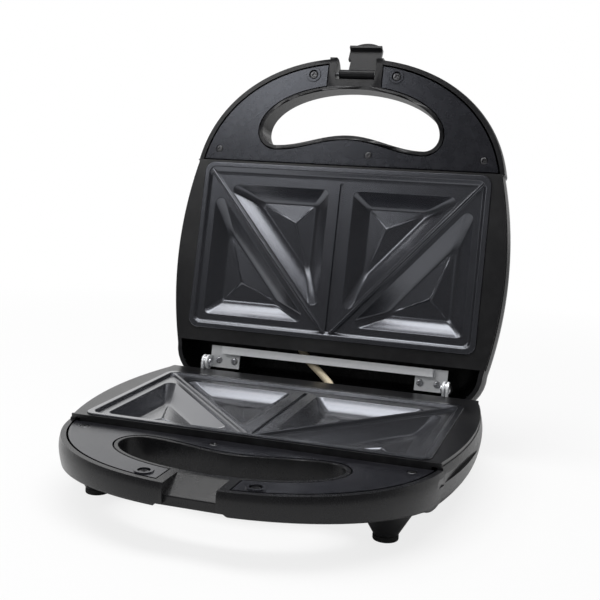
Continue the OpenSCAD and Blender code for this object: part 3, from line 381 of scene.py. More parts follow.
def rampNode(tree, value, stops):
    n = tree.nodes.new("ShaderNodeValToRGB")
    link(tree, value, n.inputs[0])
    while len(n.color_ramp.elements) < len(stops):
        n.color_ramp.elements.new(0.5)
    for e, (place, tone) in zip(n.color_ramp.elements, stops):
        e.position = place
        e.color = (tone, tone, tone, 1)
    return n.outputs[0]


def makeGroup(name, ins, outs):
    tree = bpy.data.node_groups.new(name, "ShaderNodeTree")
    for n, value in ins:
        tree.interface.new_socket(name=n, in_out="INPUT", socket_type="NodeSocketFloat").default_value = value
    for n in outs:
        tree.interface.new_socket(name=n, in_out="OUTPUT", socket_type="NodeSocketFloat")
    return (tree, *(tree.nodes.new(kind) for kind in ("NodeGroupInput", "NodeGroupOutput", "ShaderNodeTexCoord")))


def grainGroup():
    tree, gi, go, tc = makeGroup("mouldGrain", [("Scale", 900), ("Spread", 0.5)], ["Height", "Tone"])
    fine = noiseNode(tree, tc.outputs["Object"], gi.outputs["Scale"], 3, 0.6)
    broad = noiseNode(tree, tc.outputs["Object"], mathNode(tree, "MULTIPLY", gi.outputs["Scale"], 0.03), 2, 0.5)
    link(tree, fine, go.inputs["Height"])
    tone = mathNode(tree, "ADD", mathNode(tree, "MULTIPLY", fine, gi.outputs["Spread"]),
                    mathNode(tree, "MULTIPLY", broad, mathNode(tree, "SUBTRACT", 1, gi.outputs["Spread"])))
    link(tree, tone, go.inputs["Tone"])
    return tree


def edgeGroup():
    tree, gi, go, tc = makeGroup("edgeRub", [("Amount", 0.5)], ["Mask"])
    geo = tree.nodes.new("ShaderNodeNewGeometry")
    edge = rampNode(tree, geo.outputs["Pointiness"], [(0.515, 0), (0.58, 1)])
    patch = rampNode(tree, noiseNode(tree, tc.outputs["Object"], 160, 3, 0.6), [(0.42, 0.15), (0.62, 1)])
    both = mathNode(tree, "MULTIPLY", edge, patch)
    link(tree, mathNode(tree, "MULTIPLY", both, gi.outputs["Amount"], True), go.inputs["Mask"])
    return tree


def dustGroup():
    tree, gi, go, tc = makeGroup("dustFilm", [("Amount", 0.2)], ["Mask"])
    wide = rampNode(tree, noiseNode(tree, tc.outputs["Object"], 22, 4, 0.65), [(0.4, 0), (0.7, 1)])
    specks = rampNode(tree, noiseNode(tree, tc.outputs["Object"], 1400, 1, 0.5), [(0.7, 0), (0.78, 1)])
    both = mathNode(tree, "ADD", mathNode(tree, "MULTIPLY", wide, 0.6), mathNode(tree, "MULTIPLY", specks, 0.4))
    link(tree, mathNode(tree, "MULTIPLY", both, gi.outputs["Amount"], True), go.inputs["Mask"])
    return tree


groups = {"grain": grainGroup(), "edge": edgeGroup(), "dust": dustGroup()}


def useGroup(tree, which, **values):
    n = tree.nodes.new("ShaderNodeGroup")
    n.node_tree = groups[which]
    for key, value in values.items():
        n.inputs[key].default_value = value
    return n


def finish(name, colour, rough, metal=0.0, grain=900, bump=0.03, spread=0.5, roughSpan=0.08, toneSpan=0.25,
           edge=0.3, edgeColour=None, dust=0.12, coat=0.0, coatRough=0.1, specular=0.5, speckle=None,
           transmission=0.0, tint=(1, 1, 1)):
    mat = bpy.data.materials.new(name)
    mat.use_nodes = True
    tree = mat.node_tree
    shader = tree.nodes["Principled BSDF"]
    g = useGroup(tree, "grain", Scale=grain, Spread=spread)
    e = useGroup(tree, "edge", Amount=edge)
    d = useGroup(tree, "dust", Amount=dust)
    dark = tuple(c * (1 - toneSpan) for c in colour)
    light = tuple(min(1, c * (1 + toneSpan)) for c in colour)
    col = mixColor(tree, g.outputs["Tone"], dark, light)
    if speckle:
        tc = tree.nodes.new("ShaderNodeTexCoord")
        scale, strength, dotColour = speckle
        dots = rampNode(tree, noiseNode(tree, tc.outputs["Object"], scale, 1, 0.4), [(0.66, 0), (0.72, strength)])
        col = mixColor(tree, dots, col, dotColour)
    col = mixColor(tree, e.outputs["Mask"], col, edgeColour or tuple(min(1, c * 3 + 0.02) for c in colour))
    col = mixColor(tree, mathNode(tree, "MULTIPLY", d.outputs["Mask"], 0.35), col, (0.3, 0.3, 0.3))
    link(tree, col, shader.inputs["Base Color"])
    r = mathNode(tree, "ADD", mathNode(tree, "MULTIPLY", g.outputs["Tone"], roughSpan), rough - roughSpan / 2)
    r = mathNode(tree, "ADD", r, mathNode(tree, "MULTIPLY", d.outputs["Mask"], 0.3), True)
    link(tree, r, shader.inputs["Roughness"])
    shader.inputs["Metallic"].default_value = metal
    shader.inputs["Specular IOR Level"].default_value = specular
    shader.inputs["Specular Tint"].default_value = (*tint, 1)
    shader.inputs["Coat Weight"].default_value = coat
    shader.inputs["Coat Roughness"].default_value = coatRough
    shader.inputs["Transmission Weight"].default_value = transmission
    b = tree.nodes.new("ShaderNodeBump")
    b.inputs["Strength"].default_value = bump
    b.inputs["Distance"].default_value = 0.0004
    link(tree, g.outputs["Height"], b.inputs["Height"])
    link(tree, b.outputs["Normal"], shader.inputs["Normal"])
    return mat


mats = {
    "casing": finish("satin black casing", (0.0085, 0.0085, 0.0095), 0.27, grain=1800, bump=0.1, roughSpan=0.05,
                     dust=0.06, specular=0.3),
    "deck": finish("satin black deck", (0.0075, 0.0075, 0.0085), 0.3, grain=2200, bump=0.12, roughSpan=0.06),
    "cover": finish("gloss black cover", (0.008, 0.008, 0.0105), 0.21, grain=2600, bump=0.08, roughSpan=0.05,
                    dust=0.06, tint=(0.86, 0.9, 1)),
    "nonstick": finish("charcoal non-stick coat", (0.013, 0.0132, 0.0155), 0.25, grain=3200, bump=0.1,
                       roughSpan=0.06, toneSpan=0.35, dust=0.06, specular=0.95, coat=1.0, coatRough=0.22,
                       tint=(0.8, 0.85, 1), edge=0.4, edgeColour=(0.07, 0.07, 0.08),
                       speckle=(4200, 0.3, (0.05, 0.05, 0.057))),
    "darkScrew": finish("blackened screw steel", (0.1, 0.1, 0.105), 0.3, metal=0.95, grain=3000, edge=0.7,
                        edgeColour=(0.35, 0.35, 0.36)),
    "zinc": finish("zinc plated steel", (0.8, 0.83, 0.88), 0.38, metal=0.15, grain=420, spread=0.35, bump=0.1,
                   roughSpan=0.16, toneSpan=0.24, edge=0.3, edgeColour=(0.85, 0.87, 0.9)),
    "brightScrew": finish("bright screw steel", (0.68, 0.69, 0.72), 0.27, metal=1.0, grain=1500, roughSpan=0.1,
                          toneSpan=0.1, edgeColour=(0.9, 0.9, 0.92)),
    "element": finish("scaled element tube", (0.12, 0.11, 0.1), 0.5, metal=0.85, grain=1200, bump=0.3, toneSpan=0.4,
                      edgeColour=(0.4, 0.37, 0.33)),
    "reflector": finish("aluminised sheet", (0.74, 0.75, 0.77), 0.3, metal=1.0, grain=260, spread=0.3, roughSpan=0.14,
                        toneSpan=0.08, edgeColour=(0.9, 0.9, 0.9)),
    "ceramic": finish("ivory ceramic", (0.72, 0.68, 0.58), 0.42, grain=1800, bump=0.1, toneSpan=0.08,
                      edgeColour=(0.8, 0.77, 0.7)),
    "wire": finish("brown wire sheath", (0.2, 0.075, 0.03), 0.45, grain=1500, bump=0.08, toneSpan=0.15,
                   edgeColour=(0.3, 0.15, 0.08)),
    "rubber": finish("black rubber", (0.012, 0.012, 0.012), 0.66, grain=2600, bump=0.35, roughSpan=0.12,
                     edgeColour=(0.04, 0.04, 0.04), specular=0.35),
    "latch": finish("satin black latch", (0.011, 0.011, 0.012), 0.3, grain=2400, bump=0.14, specular=0.15),
    "sleeve": finish("cream glass sleeve", (0.74, 0.64, 0.46), 0.75, grain=2600, bump=0.5, toneSpan=0.22,
                     edgeColour=(0.85, 0.78, 0.62), dust=0.3),
    "red": finish("red lens", (0.5, 0.02, 0.012), 0.12, grain=900, bump=0.02, toneSpan=0.1, transmission=0.6,
                  edgeColour=(0.7, 0.1, 0.06)),
    "green": finish("green lens", (0.02, 0.32, 0.06), 0.12, grain=900, bump=0.02, toneSpan=0.1, transmission=0.6,
                    edgeColour=(0.1, 0.5, 0.15)),
}
print("finishes made", len(mats))

# casings
baseProfile = [(46, 2.2), (44, 1.8), (36, 0), (28, 0.6), (21, 2.8), (16, 7.4), (13.5, 14)]
lidProfile = [(44.6, 2.2), (46.6, 1.8), (54.6, 0), (64.6, 1), (72.6, 3.8), (79.1, 10), (82.6, 20)]
notch = {"half": 14.3, "wall": 5, "backY": -124, "sillY": -136.4, "sillZ": 33.5, "sillLow": 29.5, "room": 3.4,
         "skirtZ": 28, "rise": 1.8}
feet = {"places": [(-84.5, -75), (84.5, -75), (-84.5, 72), (84.5, 72)], "tipTop": 7, "r": 6.6, "slope": 0.58,
        "frontTop": 23, "rearTop": 15, "screwTop": 14, "screwR": 1.3, "screwZ": 4.2}
recess = {"y": -25, "half": 60, "tall": 4.5, "deep": 2, "below": 9}
vents = {"pitch": 11, "eachSide": 5, "r": 1.6, "half": 20.4, "low": 10, "high": 18}
gland = {"x": -62, "z": 19.5, "half": 9, "front": 81, "rear": 95.6, "low": 14.6, "high": 24.5, "boreR": 4.4, "round": 2}
sleeveHole = {"x": 8, "z": 37.6, "r": 3.6, "front": 70, "rear": 90}
lampHoles = {"x": 12, "y": -30, "r": 3.45}
leafScrews = {"xs": (-79, -67.3, 67.3, 79), "y": 82, "z": 52.2, "bossR": 3.5, "bossZ": 54.7}


def skirtLine(lift):
    return [(y, z + lift) for y, z in softLine([(-150, 28.47), (-75.5, 21.5), (-49.5, 11.5)], 4)]


def overLine(drop):
    front = [(-146, 51.1), (-140.5, 52.1)]
    line = [(-138, 59.1), (-133, 63.1), (-67.5, 72.1), (-57.5, 79.1), (-49.5, 80.6), (-39.5, 83.1)]
    return softLine(front + [(y, z - drop) for y, z in line], 4)


# what lies below the lower handle's underside and above the upper handle's top, to cut away
def underHandle(lift):
    return prism(skirtLine(lift) + [(-49.5, -5), (-150, -5)], -wide, wide, "X")


def overHandle(drop):
    return prism(overLine(drop) + [(-39.5, 95), (-146, 95)], -wide, wide, "X")


def notchBox(low, high, frontY):
    half = notch["half"] + notch["wall"]
    return block((-half, frontY, low), (half, grip["frontY"] - 0.4, high))


def onGripRim(p, z):
    return -119 < p.y < -70 and abs(p.x) < 68 and abs(p.z - z) < tiny


def baseCasing():
    top = plan["deckZ"] - plan["deckT"]
    belly, wall, cover = plan["bellyZ"], plan["wall"], plan["coverZ"]
    obj = ringBody("base_casing", casingRings(baseProfile, plan["baseRear"], top, skirtLine(0), belly))
    combine(obj, underHandle(0.03))
    combine(obj, block((-wide, -70, 0), (wide, far, belly + 0.03)))
    combine(obj, block((-wide, -far, cover), (wide, plan["deckFrontY"], 60)))
    roundEdges(obj, lambda p: p.y < plan["deckFrontY"] + 0.1 and abs(p.z - cover) < tiny and (
        p.y < plan["deckFrontY"] - 0.3 or abs(p.x) > 100), 0.9, 3)
    roundEdges(obj, lambda p: abs(p.z - top) < tiny and p.y > plan["deckFrontY"] + 0.3, 0.4, 2)
    combine(obj, block((-wide, plan["baseDeckRear"], plan["shelfZ"]), (wide, far, 60)))
    roundEdges(obj, lambda p: p.y > plan["baseDeckRear"] + 0.3 and abs(p.z - plan["shelfZ"]) < tiny, 1.2, 3)
    # hollow
    rings = casingRings(baseProfile, plan["baseRear"], top + 3, skirtLine(wall), belly + wall, wall, 1, 10)
    inner = ringBody("inner", rings)
    combine(inner, block((-wide, -far, 0), (wide, far, belly + wall)))
    combine(inner, underHandle(wall))
    combine(inner, block((-wide, plan["baseDeckRear"] - wall, plan["shelfZ"] - wall), (wide, far, 60)))
    combine(obj, inner)
    # lip of the grip hole and the walls of the latch notch
    lip = prism(gripLine(grip["lip"]), 18, cover)
    combine(lip, notchBox(18, cover, -137.4), "UNION")
    combine(lip, underHandle(0.8))
    combine(obj, lip, "UNION")
    combine(obj, prism(gripLine(0), 0, 60))
    roundEdges(obj, lambda p: onGripRim(p, cover), 0.6, 3)
    half, sillY, low = notch["half"], notch["sillY"], notch["sillLow"]
    backY, sillZ = notch["backY"], notch["sillZ"]
    sill = [(backY + 3, cover + 0.1), (backY + 2.6, cover - 0.5), (sillY + 1, sillZ), (sillY + 0.3, sillZ - 0.2),
            (sillY, sillZ - 0.8), (sillY, -1), (-150, -1), (-150, 50), (backY + 3, 50)]
    combine(obj, prism(sill, -half, half, "X"))
    webY = sillY + notch["room"]
    for y0, y1 in ((sillY - 1, webY), (webY + grip["lip"], grip["frontY"] - grip["lip"])):
        combine(obj, block((-half, y0, 0), (half, y1, low)))
    outer, rise, skirt = half + notch["wall"], notch["rise"], notch["skirtZ"]
    combine(obj, prism([(-outer - rise, skirt - rise), (outer + rise, skirt - rise), (outer - rise, skirt + rise),
                        (-outer + rise, skirt + rise)], -145, webY, "Y"))
    # cones that carry the feet
    low = feet["tipTop"]
    for x, y in feet["places"]:
        top = feet["frontTop"] if y < 0 else feet["rearTop"]
        combine(obj, rod((x, y, low), (x, y, top), feet["r"], feet["r"] + feet["slope"] * (top - low), 56), "UNION")
        combine(obj, rod((x, y, low - 1), (x, y, feet["screwTop"]), feet["screwR"], sides=20))
    # long recess in each side, vents in the belly, gland boss and sleeve hole
    for side in (-1, 1):
        half, y = recess["tall"] / 2, recess["y"]
        slotBox = block((-recess["deep"], -recess["half"], -half), (18, recess["half"], half))
        turn = math.asin((plan["bulgeY"] - y) / plan["sideR"])
        slotBox.matrix_world = (Matrix.Scale(side, 4, (1, 0, 0))
                                @ Matrix.Translation((sideX(y), y, plan["deckZ"] - recess["below"]))
                                @ Matrix.Rotation(-turn, 4, "Z"))
        makeActive(slotBox)
        applyTransform()
        faceOutwards(slotBox)
        combine(obj, slotBox)
    r, half, x, z = vents["r"], vents["half"], gland["x"], gland["z"]
    vent = [(r * math.cos(a), half + r * math.sin(a)) for a in (math.pi * k / 8 for k in range(9))]
    vent += [(-across, -along) for across, along in vent]
    for i in range(-vents["eachSide"], vents["eachSide"] + 1):
        places = [(across + vents["pitch"] * i, along) for across, along in vent]
        combine(obj, prism(places, vents["low"], vents["high"]))
    boss = block((x - gland["half"], gland["front"], gland["low"]), (x + gland["half"], gland["rear"], gland["high"]))
    roundEdges(boss, lambda p: p.y > 90, gland["round"], 4)
    combine(obj, boss, "UNION")
    combine(obj, rod((x, gland["front"] - 4, z), (x, 100, z), gland["boreR"]))
    x, z = sleeveHole["x"], sleeveHole["z"]
    combine(obj, rod((x, sleeveHole["front"], z), (x, sleeveHole["rear"], z), sleeveHole["r"]))
    return obj


baseShell = baseCasing()
smooth(baseShell)
settle(baseShell, "base_casing", baseMatrix, "base", "base_shell", mats["casing"])


def lidCasing():
    bottom, wall, cover = plan["lidDeckZ"], plan["wall"], plan["lidCoverZ"]
    seat = bottom + plan["deckT"]
    top, rear = plan["lidTop"], plan["lidRear"]
    obj = ringBody("lid_casing", casingRings(lidProfile, rear, bottom, overLine(0), top, fillet=2.4))
    combine(obj, overHandle(0.03))
    combine(obj, block((-wide, -far, top - 0.03), (wide, far, 120)))
    combine(obj, block((-wide, -far, 0), (wide, plan["deckFrontY"], cover)))
    roundEdges(obj, lambda p: p.y < plan["deckFrontY"] - 0.3 and abs(p.z - cover) < tiny, 0.9, 3)
    combine(obj, block((-wide, plan["deckFrontY"] - 1, 0), (wide, plan["lidDeckRear"], seat)))
    combine(obj, block((-plan["lidRailX"], plan["lidDeckRear"] - 1, 0), (plan["lidRailX"], far, seat)))
    roundEdges(obj, lambda p: p.y > plan["deckFrontY"] + 0.5 and min(abs(p.z - seat), abs(p.z - bottom)) < tiny, 0.5, 2)
    rings = casingRings(lidProfile, rear, bottom - 2, overLine(wall), top - wall, wall, 1, 10)
    inner = ringBody("inner", rings)
    combine(inner, block((-wide, -far, top - wall), (wide, far, 120)))
    combine(inner, overHandle(wall))
    combine(obj, inner)
    lip = prism(gripLine(grip["lip"]), cover, 78)
    combine(lip, notchBox(cover, 78, -139.4), "UNION")
    combine(lip, overHandle(0.6))
    combine(obj, lip, "UNION")
    combine(obj, prism(gripLine(0), 30, 100))
    roundEdges(obj, lambda p: onGripRim(p, cover), 0.6, 3)
    combine(obj, block((-notch["half"], -far, 40), (notch["half"], notch["backY"], 100)))
    y = lampHoles["y"]
    for x in (-lampHoles["x"], lampHoles["x"]):
        combine(obj, rod((x, y, 70), (x, y, 90), lampHoles["r"], sides=40))
    y, z = leafScrews["y"], leafScrews["bossZ"]
    for x in leafScrews["xs"]:
        combine(obj, rod((x, y, z), (x, y, 78), leafScrews["bossR"], sides=28), "UNION")
    return obj


lidShell = lidCasing()
smooth(lidShell)
settle(lidShell, "lid_casing", lidMatrix, "lid", "lid_shell", mats["casing"])


# deck frames and handle covers

def roundRect(w, d, r, steps=10):
    line = []
    for cx, cy, a0 in ((1, 1, 0), (-1, 1, 90), (-1, -1, 180), (1, -1, 270)):
        line += [(cx * (w / 2 - r) + r * math.cos(math.radians(a0 + 90 * i / steps)),
                  cy * (d / 2 - r) + r * math.sin(math.radians(a0 + 90 * i / steps))) for i in range(steps + 1)]
    return line


# each size is a width, a depth and a corner radius
deck = {"inset": 1.8, "wellWall": (209.6, 122.6, 8.4), "wellLow": 38.2, "well": (206.4, 120.4, 7.2), "seat": 40,
        "window": (194, 108, 7), "lipLow": 36.5, "lipT": 2.4, "lipInset": 6, "step": 0.6, "edge": 0.55}


def deckFrame(rearY):
    top, front = plan["deckZ"], plan["deckFrontY"]
    under, lipX = top - deck["step"], sideX(front) - deck["lipInset"]
    obj = prism(outline(plan["lidRear"], deck["inset"]), top - plan["deckT"], top)
    combine(obj, block((-wide, -far, 0), (wide, front, 100)))
    combine(obj, block((-wide, rearY, 0), (wide, far, 100)))
    combine(obj, prism(roundRect(*deck["wellWall"]), deck["wellLow"], under), "UNION")
    combine(obj, block((-lipX, front, deck["lipLow"]), (lipX, front + deck["lipT"], under)), "UNION")
    combine(obj, prism(roundRect(*deck["well"]), deck["seat"], 60))
    combine(obj, prism(roundRect(*deck["window"]), 30, 60))
    breakEdges(obj, deck["edge"], 3)
    smooth(obj)
    return obj


settle(deckFrame(plan["baseDeckRear"]), "base_deck", baseMatrix, "base", "base_deck_frame", mats["deck"])
settle(deckFrame(plan["lidDeckRear"]), "lid_deck", turnedMatrix, "lid", "lid_deck_frame", mats["deck"])

coverScrews = {"big": [(-30, -126.6), (30, -126.6)], "small": [(-95.6, -70.6), (95.6, -70.6), (-15.5, -70.6)],
               "bigHoleR": 3.43, "smallHoleR": 2.67, "bossR": (5.5, 5.0), "bossRise": 0.7, "edge": 0.3}


def handleCover():
    z, notchX = plan["coverZ"], notch["half"] + notch["wall"] + 0.8
    obj = prism(outline(plan["lidRear"], plan["coverInset"]), z - plan["coverT"], z)
    combine(obj, block((-wide, plan["coverRear"], 0), (wide, far, 100)))
    combine(obj, prism(gripLine(grip["lip"] + 0.8), 0, 100))
    combine(obj, block((-notchX, -far, 0), (notchX, grip["frontY"], 100)))
    for x, y in coverScrews["big"]:
        combine(obj, rod((x, y, z - 0.5), (x, y, z + coverScrews["bossRise"]), *coverScrews["bossR"]), "UNION")
        combine(obj, rod((x, y, z - 1), (x, y, z + 5), coverScrews["bigHoleR"]))
    for x, y in coverScrews["small"]:
        combine(obj, rod((x, y, z - 1), (x, y, z + 5), coverScrews["smallHoleR"]))
    breakEdges(obj, coverScrews["edge"])
    smooth(obj)
    return obj


settle(handleCover(), "base_cover", baseMatrix, "base", "base_handle_cover", mats["cover"])
settle(handleCover(), "lid_cover", turnedMatrix, "lid", "lid_handle_cover", mats["cover"])

# cooking plates; wallLine goes from above the land over the rounded rim and down the wall, as reach past the
# pocket's edge and height from the land, and the wall meets the floor at the cove
plate = {"landZ": 43, "depth": 7.5, "cupDepth": 11.4, "cupRound": 0.8, "draft": 0.9, "cove": 11, "floorRise": 0.65,
         "starRise": 0.6, "starReach": 0.74, "starHalf": 1.3, "starRoot": 1.2, "cornerR": 4,
         "wallLine": [(1.5, 3), (1.5, 0.35), (0.95, 0.1), (0.45, -0.15), (0.1, -0.5), (-0.9, -1.5), (-2.2, -2.75),
                      (-3.8, -4.1), (-5.6, -5.4), (-7.4, -6.5), (-8.9, -7.15), (-10, -7.42)],
         "flange": [(0.4, 40), (0, 40.4), (0, 44.4), (0.18, 44.8), (0.6, 45), (2.9, 45), (3.5, 44.85), (3.9, 44.5),
                    (4.6, 43.5), (5.2, 43.1), (5.9, 43)], "slopeFrom": 3.9, "farSlope": 1.6,
         "innerPocket": [(9.5, 44), (9.5, -42.05), (84.0, 44)],
         "outerPocket": [(92.5, -49), (92.5, 39.6), (15.9, -49)]}
ridge = {"apex": 2.2, "frontY": -56, "slope": 112 / 96.8, "endX": 97.5, "half": 1.7, "tall": 1.8, "groove": 0.5}
divider = {"front": -54, "rear": 49, "lowZ": 41.7, "topZ": 43.3, "lowW": 1.7, "topW": 3.2}


def inscribed(p):
    lengths = [(p[(i + 1) % 3] - p[(i + 2) % 3]).length for i in range(3)]
    centre = sum((p[i] * lengths[i] for i in range(3)), Vector((0, 0))) / sum(lengths)
    area = abs((p[1] - p[0]).cross(p[2] - p[0])) / 2
    return centre, 2 * area / sum(lengths)


def triangleRing(corners, offset, steps=8):
    p, r = [Vector(c) for c in corners], plate["cornerR"]
    centre, inradius = inscribed(p)
    core = [centre + (c - centre) * (1 - r / inradius) for c in p]
    if (core[1] - core[0]).cross(core[2] - core[0]) < 0:
        core.reverse()
    ring = []
    for i in range(3):
        a, b, c = core[i - 1], core[i], core[(i + 1) % 3]
        n0, n1 = (b - a), (c - b)
        a0, a1 = math.atan2(n0.y, n0.x) - math.pi / 2, math.atan2(n1.y, n1.x) - math.pi / 2
        if a1 < a0:
            a1 += 2 * math.pi
        ring += [b + r * Vector((math.cos(t), math.sin(t)))
                 for t in (a0 + (a1 - a0) * k / steps for k in range(steps + 1))]
    k = 1 + offset / inradius
    return [centre + (v - centre) * k for v in ring]


def pocketCutter(corners):
    inradius = inscribed([Vector(c) for c in corners])[1]
    z, depth, cove = plate["landZ"], plate["depth"], plate["cove"]
    rings = [[(v.x, v.y, z + dz) for v in triangleRing(corners, offset)]
             for offset, dz in plate["wallLine"] + [(-cove, -depth)]]
    full = inradius - cove
    for part in (0.5, 0.12):   # the floor rises a little towards the middle
        height = z - depth + plate["floorRise"] * (1 - part)
        rings.append([(v.x, v.y, height) for v in triangleRing(corners, -inradius + full * part)])
    return ringBody("pocket", rings)


# three-armed star that stands on a pocket's floor
def pocketStar(corners):
    centre, inradius = inscribed([Vector(c) for c in corners])
    rise, reach, floorZ = plate["floorRise"], plate["starReach"], plate["landZ"] - plate["depth"]
    k = 1 - plate["cove"] / inradius
    arms = [Vector(c) - centre for c in corners]
    top = []
    for i in range(3):
        tip = centre + arms[i] * k * reach
        waist = centre - arms[(i + 2) % 3].normalized() * plate["starHalf"]
        top += [(tip.x, tip.y, floorZ + rise * (1 - reach) - 0.03), (waist.x, waist.y, floorZ + rise * 0.88)]
    peak = (centre.x, centre.y, floorZ + rise + plate["starRise"])
    return ringBody("star", [[(x, y, z - plate["starRoot"]) for x, y, z in top], top, [peak] * len(top)])


def cookingPlate():
    w, d, r, landZ = plan["plateW"], plan["plateD"], plan["plateCorner"], plate["landZ"]
    rings = []
    for inset, height in plate["flange"]:
        ring = roundRect(w - 2 * inset, d - 2 * inset, max(r - inset * 0.55, 1.5), 8)
        band = max(0, inset - plate["slopeFrom"]) * plate["farSlope"]   # the far side slopes over a wider band
        rings.append([(x, y - band * min(1, max(0, y) / 40), height) for x, y in ring])
    obj = ringBody("plate", rings)
    pockets = [[(side * x, y) for x, y in pocket] for side in (1, -1)
               for pocket in (plate["innerPocket"], plate["outerPocket"])]
    limit = block((-w / 2 + 0.5, -d / 2 + 0.5, 20), (w / 2 - 0.5, d / 2 - 0.5, plan["rimZ"] - 2.5))
    low, soft, draft = plate["cupDepth"], plate["cupRound"], plate["draft"]
    cupLine = [(3, -0.5), (3 - (low - soft) * draft, soft - low), (2.2 - low * draft, -low)]
    for corners in pockets:   # the cups under the pockets
        cup = ringBody("cup", [[(v.x, v.y, landZ + dz) for v in triangleRing(corners, offset)]
                               for offset, dz in cupLine])
        combine(cup, copyOf(limit), "INTERSECT")
        combine(obj, cup, "UNION")
    bpy.data.objects.remove(limit)
    for corners in pockets:
        combine(obj, pocketCutter(corners))
        combine(obj, pocketStar(corners), "UNION")
    half, tall = ridge["half"], ridge["tall"]
    section = [(-half - 0.5, -0.6), (-half, 0.02), (-half + 0.4, 0.4), (-half + 0.8, tall - 0.2), (-half + 1.05, tall),
               (-0.4, tall), (0, tall - ridge["groove"])]
    section += [(-s, h) for s, h in reversed(section[:-1])]
    run = ridge["endX"] - ridge["apex"]
    for side in (1, -1):
        a = Vector((side * ridge["apex"], ridge["frontY"] + 0.3))
        b = Vector((side * ridge["endX"], ridge["frontY"] + ridge["slope"] * run))
        along = (b - a).normalized()
        across = Vector((-along.y, along.x))
        rings = [[(q.x, q.y, landZ + h) for q, h in ((p + across * s, h) for s, h in section)]
                 for p in (a, a.lerp(b, 0.5), b)]
        combine(obj, ringBody("ridge", rings), "UNION")
    combine(obj, grooveCutter())
    smooth(obj, 32)
    return obj


# the groove between the left and the right pockets, wider at the top
def grooveCutter():
    front, rear = divider["front"], divider["rear"]
    obj = prism([(front, 0), (rear, 0), (rear, 1), (front, 1)], 0, 1)
    for v in obj.data.vertices:
        y, side, low = v.co.x, v.co.y, v.co.z < 0.5
        width, height = (divider["lowW"], divider["lowZ"]) if low else (divider["topW"], divider["topZ"])
        v.co = ((side - 0.5) * width, y, height)
    faceOutwards(obj)
    return obj


settle(cookingPlate(), "base_plate", baseMatrix, "base", "base_cooking_plate", mats["nonstick"])
settle(cookingPlate(), "lid_plate", plateMatrix, "lid", "lid_cooking_plate", mats["nonstick"])


# each kind of screw is a shank radius, a head radius, a head height and a length
screws = {"bigCover": (1.7, 2.95, 1.0, 9), "smallCover": (1.3, 2.45, 1.0, 9), "leaf": (1.3, 2.47, 1.2, 8),
          "plain": (1.3, 2.47, 1.0, 8), "bracketXs": (-79, -67, 67, 79), "bracketY": 81.3, "bracketZ": 37}
cross = {"arm": 0.64, "thick": 0.23, "deep": 0.85, "deepest": 0.42, "footArm": 0.5, "footThick": 0.6}


def screwMaster(r, headR, headT, length):
    obj = rod((0, 0, -headT), (0, 0, 0), headR, sides=36)
    roundEdges(obj, lambda p: p.z > -0.01, headT * 0.62, 4)
    openEdit(obj, "FACE")
    bpy.ops.mesh.select_all(action="DESELECT")
    bm = bmesh.from_edit_mesh(obj.data)
    for f in bm.faces:
        f.select = f.normal.z < -0.9 and f.calc_center_median().z < -headT + 0.01
    bmesh.update_edit_mesh(obj.data)
    bpy.ops.mesh.inset(thickness=headR - r, depth=0)
    bpy.ops.mesh.extrude_region_move(TRANSFORM_OT_translate={"value": (0, 0, headT - length)})
    closeEdit()
    arm, thick = headR * cross["arm"], headR * cross["thick"]
    deep = min(headT * cross["deep"], headR * cross["deepest"])
    for turned in (False, True):
        cutter = block((-1, -1, 0), (1, 1, 1))
        for v in cutter.data.vertices:
            foot = v.co.z < 0.5
            x = math.copysign(arm * cross["footArm"] if foot else arm, v.co.x)
            y = math.copysign(thick * cross["footThick"] if foot else thick, v.co.y)
            v.co = (*((-y, x) if turned else (x, y)), -deep if foot else 0.3)
        combine(obj, cutter)
    return obj


# copies of one screw at its places, each turned a little further, joined into one object
def screwRow(kind, places):
    master = screwMaster(*screws[kind])
    copies = []
    for i, (x, y, z, direction) in enumerate(places):
        copy = copyOf(master)
        turn = Vector(direction).to_track_quat("Z", "Y").to_matrix().to_4x4()
        copy.matrix_world = Matrix.Translation((x, y, z)) @ turn @ Matrix.Rotation(0.5 + 1.3 * i, 4, "Z")
        copies.append(copy)
    bpy.data.objects.remove(master)
    bpy.ops.object.select_all(action="DESELECT")
    for c in copies:
        c.select_set(True)
    bpy.context.view_layer.objects.active = copies[0]
    bpy.ops.object.join()
    obj = bpy.context.object
    applyTransform()
    return obj


up, down, back = (0, 0, 1), (0, 0, -1), (0, 1, 0)
coverZ = plan["coverZ"]
for part, matrix in (("base", baseMatrix), ("lid", turnedMatrix)):
    big = screwRow("bigCover", [(x, y, coverZ, up) for x, y in coverScrews["big"]])
    small = screwRow("smallCover", [(x, y, coverZ, up) for x, y in coverScrews["small"]])
    makeActive(big)
    small.select_set(True)
    bpy.ops.object.join()
    smooth(big, 35, False)
    settle(big, part + "_cover_screw_set", matrix, part, part + "_cover_screws", mats["darkScrew"])

leafPlaces = [(x, leafScrews["y"], leafScrews["z"], down) for x in leafScrews["xs"]]
bracketPlaces = [(x, screws["bracketY"], screws["bracketZ"], back) for x in screws["bracketXs"]]
footPlaces = [(x, y, feet["screwZ"], down) for x, y in feet["places"]]
for name, kind, places, matrix, body, node in (
        ("leaf_screw_set", "leaf", leafPlaces, lidMatrix, "lid", "lid_hinge_screws"),
        ("bracket_screw_set", "plain", bracketPlaces, baseMatrix, "base", "base_hinge_screws"),
        ("foot_screw_set", "plain", footPlaces, baseMatrix, "base", "foot_screws")):
    row = screwRow(kind, places)
    smooth(row, 35, False)
    settle(row, name, matrix, body, node, mats["brightScrew"])


# small pieces that start from the CAD solids: merged, then their edges are broken

